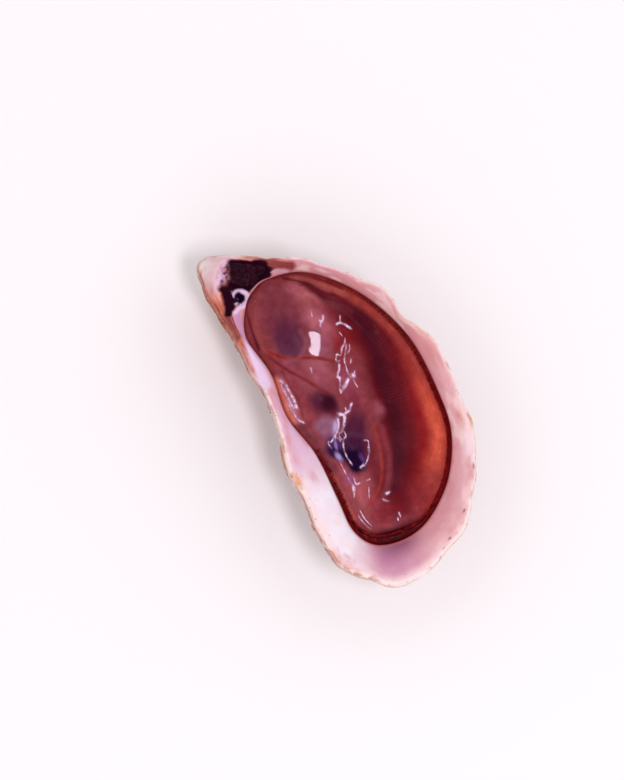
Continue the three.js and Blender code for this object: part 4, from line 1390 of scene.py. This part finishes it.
# %% Build the ligament
LIGAMENT_COLUMNS, LIGAMENT_UNDER_ROWS, LIGAMENT_TOP_ROWS = 120, 24, 40
LIGAMENT_REACH, INNERMOST = 0.97, 0.03  # its largest and smallest ring, as shares of the pit


def build_ligament():
    """A lens in the pit's own coordinates: rings of t and across, its underside on the pit's
    floor, its upper face a little under the lip and torn."""
    turn = (np.arange(LIGAMENT_COLUMNS) / LIGAMENT_COLUMNS)[None, :]
    under_ring = np.linspace(INNERMOST, 1, LIGAMENT_UNDER_ROWS)[:, None]
    top_ring = np.linspace(1, INNERMOST, LIGAMENT_TOP_ROWS)[1:, None]
    faces = []
    for ring, low in ((under_ring, True), (top_ring, False)):
        t = PIT["t"] + PIT["half_t"] * LIGAMENT_REACH * ring * np.cos(TAU * turn)
        across = PIT["across"] + PIT["half_across"] * LIGAMENT_REACH * ring * np.sin(TAU * turn)
        plan = lip_plan(t, across)
        flat = flat_points(plan)
        torn = np.abs(rough(flat, 2.4, 101, 4)) * 1.7 + 0.3 * saw(flat[..., 0] / 1.1 + rough(flat, 2, 103))
        floor = lip_height(t, across) - pit(t, across) - 0.1
        top = lip_height(t, across) - 1.5 + torn * (1 - ring**6) - 0.9 * (1 - ring**2)
        top = np.maximum(top, floor + 0.15 * (1 - ring))
        faces.append(np.concatenate([plan, (floor if low else top)[..., None]], -1))
    grid = np.concatenate(faces)
    return grid, [grid[0].mean(axis=0), grid[-1].mean(axis=0)]


ligament_grid, ligament_poles = build_ligament()
ligament_flat = ligament_grid * (1, 1, 0)
crust = np.append(pale_share(ligament_flat[..., :2], rough(ligament_flat, 1.7, 76, 4)), [0, 0])
torn_ligament = outward(ring_mesh("torn_ligament", ligament_grid, ligament_poles, {"crust": crust}))
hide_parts("hinge_ligament")

# %% [markdown]
# ## A short way to write a finish
# A finish is a tree of nodes. Written out in full, each node takes four lines, so a small
# helper makes a node, sets its fixed inputs and links the others in one call.


# %% Helper for node trees
class Finish:
    """One material and the short calls that fill its tree."""

    def __init__(self, name):
        self.material = bpy.data.materials.new(name)
        self.material.use_nodes = True
        self.tree = self.material.node_tree
        self.tree.nodes.clear()
        self.output = self.tree.nodes.new("ShaderNodeOutputMaterial")

    def node(self, kind, settings=(), **inputs):
        """A node of a kind, with its settings, and its inputs either set or linked. An input is
        named with underlines for blanks, or by its number after one underline."""
        node = self.tree.nodes.new("ShaderNode" + kind)
        for key, value in dict(settings).items():
            setattr(node, key, value)
        for key, value in inputs.items():
            label = int(key[1:]) if key[1:].isdigit() else key.replace("_", " ")
            self.put(node.inputs[label], value)
        return node

    def put(self, socket, value):
        """Links a node's output to the socket, or sets it to a plain value."""
        if isinstance(value, bpy.types.NodeSocket):
            self.tree.links.new(value, socket)
        elif isinstance(value, (tuple, list)) and len(value) == 3 and socket.type == "RGBA":
            socket.default_value = (*value, 1)
        else:
            socket.default_value = value

    def read(self, label):
        """A number stored on the vertices."""
        return self.node("Attribute", {"attribute_name": label}).outputs["Fac"]

    def read_colour(self, label):
        """A colour stored on the vertices."""
        return self.node("Attribute", {"attribute_name": label}).outputs["Color"]

    def place(self, stretch=(1, 1, 1)):
        """Object coordinates in millimetres, stretched by axis."""
        here = self.node("TexCoord").outputs["Object"]
        scale = [share / MM for share in stretch]
        return self.node("Mapping", {"vector_type": "POINT"}, Vector=here, Scale=scale).outputs[0]

    def noise(self, size, detail=4.0, where=None, roughness=0.55):
        """Noise with blobs about `size` millimetres across, from 0 to 1."""
        where = where or self.place()
        made = self.node("TexNoise", {"noise_dimensions": "3D"}, Vector=where, Scale=1 / size,
                         Detail=detail, Roughness=roughness)
        return made.outputs["Fac"]

    def math(self, operation, a, b=0.0, c=0.0, clamp=False):
        """One sum on numbers."""
        settings = {"operation": operation, "use_clamp": clamp}
        return self.node("Math", settings, _0=a, _1=b, _2=c).outputs[0]

    def times(self, a, b, clamp=False):
        """The product of two numbers."""
        return self.math("MULTIPLY", a, b, clamp=clamp)

    def span(self, value, low, high, new_low=0.0, new_high=1.0):
        """Maps low..high to new_low..new_high and holds the ends."""
        made = self.node("MapRange", {"interpolation_type": "SMOOTHSTEP"}, Value=value,
                         From_Min=low, From_Max=high, To_Min=new_low, To_Max=new_high)
        return made.outputs["Result"]

    def blend(self, share, a, b, way="MIX"):
        """Blends two colours by a share."""
        node = self.node("Mix", {"data_type": "RGBA", "blend_type": way, "clamp_result": False})
        for number, value in ((0, share), (6, a), (7, b)):
            self.put(node.inputs[number], value)
        return node.outputs[2]

    def tinted(self, colour, by):
        """A colour multiplied by another."""
        return self.blend(1.0, colour, by, "MULTIPLY")

    def bump(self, height, distance, strength=1.0, after=None):
        """Fine relief in millimetres that only bends the light."""
        node = self.node("Bump", {}, Height=height, Distance=distance * MM, Strength=strength)
        if after is not None:
            self.tree.links.new(after, node.inputs["Normal"])
        return node.outputs["Normal"]

    def surface(self, shader, *pieces):
        """Ends the tree and gives the material to its pieces."""
        self.tree.links.new(shader, self.output.inputs["Surface"])
        for piece in pieces:
            piece.data.materials.clear()
            piece.data.materials.append(self.material)
        print(self.material.name, "has", len(self.tree.nodes), "nodes")


# %% [markdown]
# ## The shell's finish
# Two stuffs meet on the shell. Outside it is chalk and horn: cream plates with purple-brown
# grooves between them, clouded and rough, with fine layers that show as darker lines.

# %% Chalk of the outer face
chalk = Finish("chalk_and_nacre")
outside, plate, layer, across = (chalk.read(label) for label in ("outside", "plate", "layer", "across"))
clouds, grain, specks = chalk.noise(9, 5), chalk.noise(0.7, 5, roughness=0.7), chalk.noise(1.1, 2)
cream = chalk.blend(chalk.span(clouds, 0.35, 0.65), (0.86, 0.64, 0.60), (0.58, 0.27, 0.27))
cream = chalk.blend(chalk.span(chalk.noise(3.2, 4), 0.5, 0.7), cream, (0.94, 0.84, 0.82))
cream = chalk.blend(chalk.times(chalk.span(layer, 0.45, 0.1), 0.55), cream, (0.40, 0.13, 0.13))
groove = chalk.times(chalk.span(plate, 0.55, 0.1), chalk.span(chalk.noise(6, 5), 0.32, 0.52))
fine_groove = chalk.times(chalk.span(layer, 0.5, 0.0), chalk.span(clouds, 0.42, 0.62))
groove = chalk.math("ADD", groove, fine_groove)
outer_colour = chalk.blend(chalk.times(groove, 0.92, clamp=True), cream, (0.085, 0.014, 0.030))
print("chalk nodes so far:", len(chalk.tree.nodes))

# %% [markdown]
# Over the chalk come the stains: rust-orange clouds, a browner crust on the hinge side, and
# dark specks.

# %% Stains of the outer face
rust = chalk.span(chalk.noise(7.5, 6), 0.52, 0.66)
side_rust = chalk.times(chalk.read("hinge_side"), chalk.span(grain, 0.3, 0.6))
rust = chalk.math("ADD", rust, side_rust, clamp=True)
outer_colour = chalk.blend(chalk.times(rust, 0.75), outer_colour, (0.56, 0.18, 0.085))
side_stain = chalk.times(chalk.read("hinge_side"), chalk.span(chalk.noise(2.2, 6), 0.32, 0.58, 0.2, 0.95))
side_tint = chalk.blend(chalk.span(chalk.noise(1.4, 6), 0.42, 0.6), (0.56, 0.13, 0.055), (0.20, 0.035, 0.030))
outer_colour = chalk.blend(side_stain, outer_colour, side_tint)
outer_colour = chalk.blend(chalk.span(specks, 0.66, 0.72), outer_colour, (0.06, 0.02, 0.03))
print("with stains:", len(chalk.tree.nodes))

# %% [markdown]
# Inside, the shell is nacre: smooth and a little see-through. It takes the colours that were
# laid on the lip, lightly clouded, with brown stains and specks towards the thin edge. The
# outermost margin of the chalk is cream, as new shell is.

# %% Nacre of the lip
nacre = chalk.read_colour("lip_tint")
cloud_share = chalk.span(chalk.noise(3.5, 5), 0.3, 0.7, 0.0, 0.5)
nacre = chalk.blend(cloud_share, nacre, chalk.tinted(nacre, (0.93, 0.84, 0.88)))
edge_stain = chalk.times(chalk.span(across, 0.25, 0.0), chalk.span(chalk.noise(2.6, 5), 0.55, 0.68))
nacre = chalk.blend(chalk.times(edge_stain, 0.7), nacre, (0.50, 0.14, 0.06))
lip_specks = chalk.times(chalk.span(chalk.noise(0.9, 2), 0.69, 0.74), chalk.span(across, 0.4, 0.1))
nacre = chalk.blend(lip_specks, nacre, (0.12, 0.03, 0.03))
edge_cream = chalk.span(chalk.read("growth"), 0.975, 0.998)
edge_cream = chalk.times(edge_cream, chalk.span(chalk.read("hinge_side"), 0.3, 0.0))
outer_colour = chalk.blend(chalk.times(edge_cream, 0.8), outer_colour, (0.86, 0.56, 0.48))
shell_colour = chalk.blend(chalk.times(outside, chalk.span(across, 0.06, 0.0)), nacre, outer_colour)
print("with nacre:", len(chalk.tree.nodes))

# %% [markdown]
# Chalk is rough and bumpy, nacre smooth. Where the shell is dark it is horn, and hardly
# mirrors, so the gloss follows the red of the colour.

# %% Finish the shell
outside_bump = chalk.times(chalk.math("ADD", grain, chalk.noise(0.25, 3)), outside)
soft_bump = chalk.bump(chalk.noise(2.4, 3), 0.05)
shell_normal = chalk.bump(outside_bump, 0.35, after=soft_bump)
shell_rough = chalk.span(outside, 0, 1, 0.34, 0.7)
shell_rough = chalk.math("ADD", shell_rough, chalk.span(chalk.noise(4, 4), 0.3, 0.7, -0.05, 0.12))
redness = chalk.node("SeparateColor", {}, Color=shell_colour).outputs["Red"]
shell_gloss = chalk.span(redness, 0.1, 0.4, 0.01, 0.35)
shell_shader = chalk.node(
    "BsdfPrincipled", {}, Base_Color=shell_colour, Roughness=shell_rough, Normal=shell_normal,
    Subsurface_Weight=0.25, Subsurface_Scale=0.0025, Subsurface_Radius=(1.0, 0.55, 0.5),
    Specular_IOR_Level=shell_gloss)
chalk.surface(shell_shader.outputs[0], oyster_shell)

# %% [markdown]
# ## The flesh's finish
# Flesh is soft because light goes into it and comes out elsewhere, redder. The stored colours
# carry the large patches. The tree adds what is finer than the mesh: faint mottling, cross
# stripes of the gills, rays that run in from the mantle's edge, and pale streaks along it,
# which are painted highlights for the glints of the wet mantle edge.

# %% Flesh finish
flesh = Finish("soft_flesh")
tint = flesh.read_colour("flesh_tint")
run, off, inset, round_way = (flesh.read(label) for label in ("gill_run", "gill_off", "inset", "round"))
mottle = flesh.noise(2.2, 5)
mottle_tint = flesh.blend(flesh.span(mottle, 0.3, 0.75), (0.88, 0.84, 0.86), (1.16, 1.24, 1.22))
tint = flesh.tinted(tint, mottle_tint)
stripe_place = flesh.times(flesh.math("ADD", run, flesh.times(mottle, 0.5)), 7.5)
stripes = flesh.span(flesh.math("SINE", stripe_place), 0, 1)
stripes = flesh.times(stripes, flesh.span(off, 7, 2))
tint = flesh.blend(flesh.times(stripes, 0.12), tint, (0.24, 0.03, 0.05))
ray_place = flesh.node("CombineXYZ", {}, X=round_way, Y=flesh.times(inset, 0.12)).outputs[0]
rays = flesh.times(flesh.span(flesh.noise(1.6, 3, ray_place), 0.50, 0.75), flesh.span(inset, 12, 3))
tint = flesh.blend(flesh.times(rays, 0.25), tint, flesh.tinted(tint, (1.5, 1.5, 1.4)))
# Painted highlight: pale arcs along the mantle's edge stand in for glints on its wet skin.
arc_x, arc_y = flesh.times(round_way, 0.14), flesh.times(inset, 1.5)
arc_place = flesh.node("CombineXYZ", {}, X=arc_x, Y=arc_y).outputs[0]
streaks = flesh.noise(0.9, 4, arc_place)
painted_glint_arcs = flesh.times(flesh.span(streaks, 0.52, 0.72), flesh.span(inset, 5.5, 2.0))
painted_glint_arcs = flesh.times(painted_glint_arcs, flesh.span(inset, 0.4, 1.4))
tint = flesh.blend(flesh.times(painted_glint_arcs, 0.45), tint, flesh.tinted(tint, (1.45, 1.9, 2.0)))
flesh_normal = flesh.bump(streaks, 0.06, after=flesh.bump(flesh.noise(0.8, 4), 0.05))
flesh_shader = flesh.node(
    "BsdfPrincipled", {}, Base_Color=tint, Roughness=0.38, Normal=flesh_normal,
    Subsurface_Weight=0.35, Subsurface_Scale=0.002, Subsurface_Radius=(1.0, 0.3, 0.25),
    Specular_IOR_Level=0.02)
flesh.surface(flesh_shader.outputs[0], oyster_flesh)

# %% [markdown]
# The feelers of the fringe are nearly black, with a red cast here and there.

# %% Fringe finish
fringe = Finish("dark_fringe")
fringe_share = fringe.span(fringe.noise(1.5, 3), 0.35, 0.65)
fringe_colour = fringe.blend(fringe_share, (0.08, 0.002, 0.004), (0.25, 0.008, 0.010))
fringe_shader = fringe.node(
    "BsdfPrincipled", {}, Base_Color=fringe_colour, Roughness=0.5, Specular_IOR_Level=0.05)
fringe.surface(fringe_shader.outputs[0], mantle_fringe)

# %% [markdown]
# ## Water
# Thin water shows two things: what lies under it, slightly tinted, and a reflection that
# grows towards the edge of view. A see-through shader and a mirror, mixed by a share, give
# just that. On the film the slime blurs the mirror, except on the bead. Along the strands a
# milky white is mixed in: a painted highlight for the lamp's glints on the film's ridges.


# %% Water finish
SHEEN = (1.0, 0.72, 0.92)


def water(wet, tint, blur, grazing, facing_share):
    """A clear skin of one tint. Its reflection grows with the fifth power of the facing, which
    is alike from both sides, so lamps reach what lies below."""
    clear = wet.node("BsdfTransparent", {}, Color=tint).outputs[0]
    mirror = wet.node("BsdfGlossy", {}, Color=SHEEN, Roughness=blur).outputs[0]
    facing = wet.node("LayerWeight", {}, Blend=0.5).outputs["Facing"]
    share = wet.math("MULTIPLY_ADD", wet.math("POWER", facing, 5.0), grazing, facing_share)
    share = wet.times(share, wet.read("gloss"))
    return wet.node("MixShader", {}, Fac=share, _1=clear, _2=mirror).outputs[0]


film = Finish("film_with_painted_glints")
film_shader = water(film, (1.0, 0.985, 0.985), blur=0.24, grazing=0.5, facing_share=0.002)
sharp = film.node("BsdfGlossy", {}, Color=(0.92, 0.92, 1.0), Roughness=0.05).outputs[0]
bead = film.times(film.read("bead"), 0.040)
film_shader = film.node("MixShader", {}, Fac=bead, _1=film_shader, _2=sharp).outputs[0]
# Painted highlight: a milky white along the strands stands in for the lamp's glints on the film.
painted_strand_glint = film.node("BsdfPrincipled", {}, Base_Color=(0.88, 0.60, 0.84), Roughness=0.2).outputs[0]
strand_glint = film.times(film.read("strand_glint"), film.span(film.noise(1.3, 3), 0.32, 0.60, 0.25, 1.0))
film_shader = film.node("MixShader", {}, Fac=strand_glint, _1=film_shader, _2=painted_strand_glint).outputs[0]
film.surface(film_shader, wet_film)

liquor = Finish("tinted_liquor")
liquor_shader = water(liquor, (0.97, 0.89, 0.88), blur=0.08, grazing=0.3, facing_share=0.004)
liquor.surface(liquor_shader, oyster_liquor)

# %% [markdown]
# ## The ligament's finish
# Horny and nearly black, with a purple cast and a dull sheen on its broken layers. Towards
# the knob the pale crust of the shell lies on it too.

# %% Ligament finish
horn = Finish("torn_horn")
horn_clouds = horn.span(horn.noise(1.3, 6), 0.35, 0.75)
horn_colour = horn.blend(horn_clouds, (0.014, 0.001, 0.006), (0.055, 0.005, 0.022))
crust_clouds = horn.span(horn.noise(0.8, 4), 0.42, 0.58)
crust_colour = horn.blend(crust_clouds, (0.30, 0.075, 0.13), (0.68, 0.32, 0.38))
crust_share = horn.times(horn.read("crust"), horn.span(horn.noise(1.1, 4), 0.30, 0.55, 0.35, 1.0))
horn_colour = horn.blend(crust_share, horn_colour, crust_colour)
horn_normal = horn.bump(horn.noise(0.9, 5, horn.place((1.0, 0.35, 1.0)), 0.6), 0.25)
horn_shader = horn.node(
    "BsdfPrincipled", {}, Base_Color=horn_colour, Roughness=0.5, Specular_IOR_Level=0.08,
    Normal=horn_normal)
horn.surface(horn_shader.outputs[0], torn_ligament)

# %% [markdown]
# ## Floor, camera and lamps
# The oyster is shown on plain white. The floor is a large square sheet of matt paper.

# %% Floor
FLOOR_HALF = 1.5  # metres
corners = [(x * FLOOR_HALF, y * FLOOR_HALF, 0) for x, y in ((-1, -1), (1, -1), (1, 1), (-1, 1))]
floor_mesh = bpy.data.meshes.new("floor")
floor_mesh.from_pydata(corners, [], [(0, 1, 2, 3)])
floor = bpy.data.objects.new("floor", floor_mesh)
bpy.context.scene.collection.objects.link(floor)
paper = Finish("white_floor")
paper_shader = paper.node("BsdfPrincipled", {}, Base_Color=(0.99, 0.985, 0.985), Roughness=0.9)
paper.surface(paper_shader.outputs[0], floor)

# %% [markdown]
# The camera looks nearly straight down from 90 cm, with a long lens. It is turned so that the
# hinge comes to the upper left and the lip's end to the lower right.

# %% Camera
FRAME_HEIGHT = 780 * 0.2639  # what the frame's height shows where the camera aims, in millimetres
AIM = np.array([-6.45, -6.93, 22.0]) + TO_MIDDLE
FRAME_RIGHT = np.array([0.549, 0.836, 0.0])
LEAN = np.radians(8)  # towards the hollow side of the outline
DISTANCE, SENSOR = 900.0, 36.0


def standing(place, *axes):
    """The matrix that stands an object at a place in metres, with its own x, y and z axes turned."""
    return Matrix([[*row, at] for row, at in zip(np.stack(axes, 1).tolist(), place)] + [[0, 0, 0, 1]])


view_back = np.array([0, -np.sin(LEAN), np.cos(LEAN)])
view_right = FRAME_RIGHT - view_back * (FRAME_RIGHT @ view_back)
view_right /= np.linalg.norm(view_right)
view_up = np.cross(view_back, view_right)
camera_data = bpy.data.cameras.new("camera")
camera = bpy.data.objects.new("camera", camera_data)
bpy.context.scene.collection.objects.link(camera)
bpy.context.scene.camera = camera
camera_place = (AIM + view_back * DISTANCE) * MM
camera.matrix_world = standing(camera_place, view_right, view_up, view_back)
camera_data.sensor_width = SENSOR
camera_data.lens = SENSOR * DISTANCE / FRAME_HEIGHT
print("lens", round(camera_data.lens, 1), "mm")

# %% [markdown]
# One small softbox stands nearly overhead, and the wet film mirrors it.


# %% Lamp
def softbox(name, towards, long_way, distance, size, watts, colour=(1, 1, 1)):
    """A lamp in a direction from the oyster, turned to face it, its long side along long_way."""
    towards = np.array(towards, float) / np.linalg.norm(towards)
    data = bpy.data.lights.new(name, "AREA")
    data.shape, data.size, data.size_y = "RECTANGLE", size[0], size[1]
    data.energy, data.color = watts, colour
    lamp = bpy.data.objects.new(name, data)
    bpy.context.scene.collection.objects.link(lamp)
    side = np.array(long_way) - towards * (np.array(long_way) @ towards)
    side /= np.linalg.norm(side)
    lamp.matrix_world = standing(towards * distance, side, np.cross(towards, side), towards)
    print(name, watts, "W,", distance, "m away")


softbox("overhead_lamp", (0.23, 0.045, 0.97), (-0.836, 0.549, 0.0), distance=1.2, size=(0.36, 0.24),
        watts=4.4, colour=(1.0, 0.92, 1.0))

# %% [markdown]
# All other light comes from a white tent, bright all round and dark at its top, where the
# camera looks in, so that the wet flesh mirrors little of it.

# %% Tent
TENT_FADE = (("From Min", 0.80), ("From Max", 0.97), ("To Min", 0.95), ("To Max", 0.05))

tent = bpy.data.worlds.new("tent")
tent.use_nodes = True
wall = tent.node_tree.nodes["Background"]
direction = tent.node_tree.nodes.new("ShaderNodeTexCoord")
split = tent.node_tree.nodes.new("ShaderNodeSeparateXYZ")
fade = tent.node_tree.nodes.new("ShaderNodeMapRange")
fade.interpolation_type = "SMOOTHSTEP"
for name, value in TENT_FADE:
    fade.inputs[name].default_value = value
tent.node_tree.links.new(direction.outputs["Generated"], split.inputs[0])
tent.node_tree.links.new(split.outputs["Z"], fade.inputs["Value"])
tent.node_tree.links.new(fade.outputs["Result"], wall.inputs["Strength"])
wall.inputs["Color"].default_value = (1.0, 0.95, 0.97, 1)
bpy.context.scene.world = tent
bpy.context.scene.view_settings.view_transform = "Standard"
print("tent nodes:", len(tent.node_tree.nodes))

# %% [markdown]
# ## One body
# Every piece rides on the one body.

# %% Ride
for piece in (oyster_shell, oyster_flesh, oyster_liquor, wet_film, mantle_fringe, torn_ligament):
    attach(piece, "root")
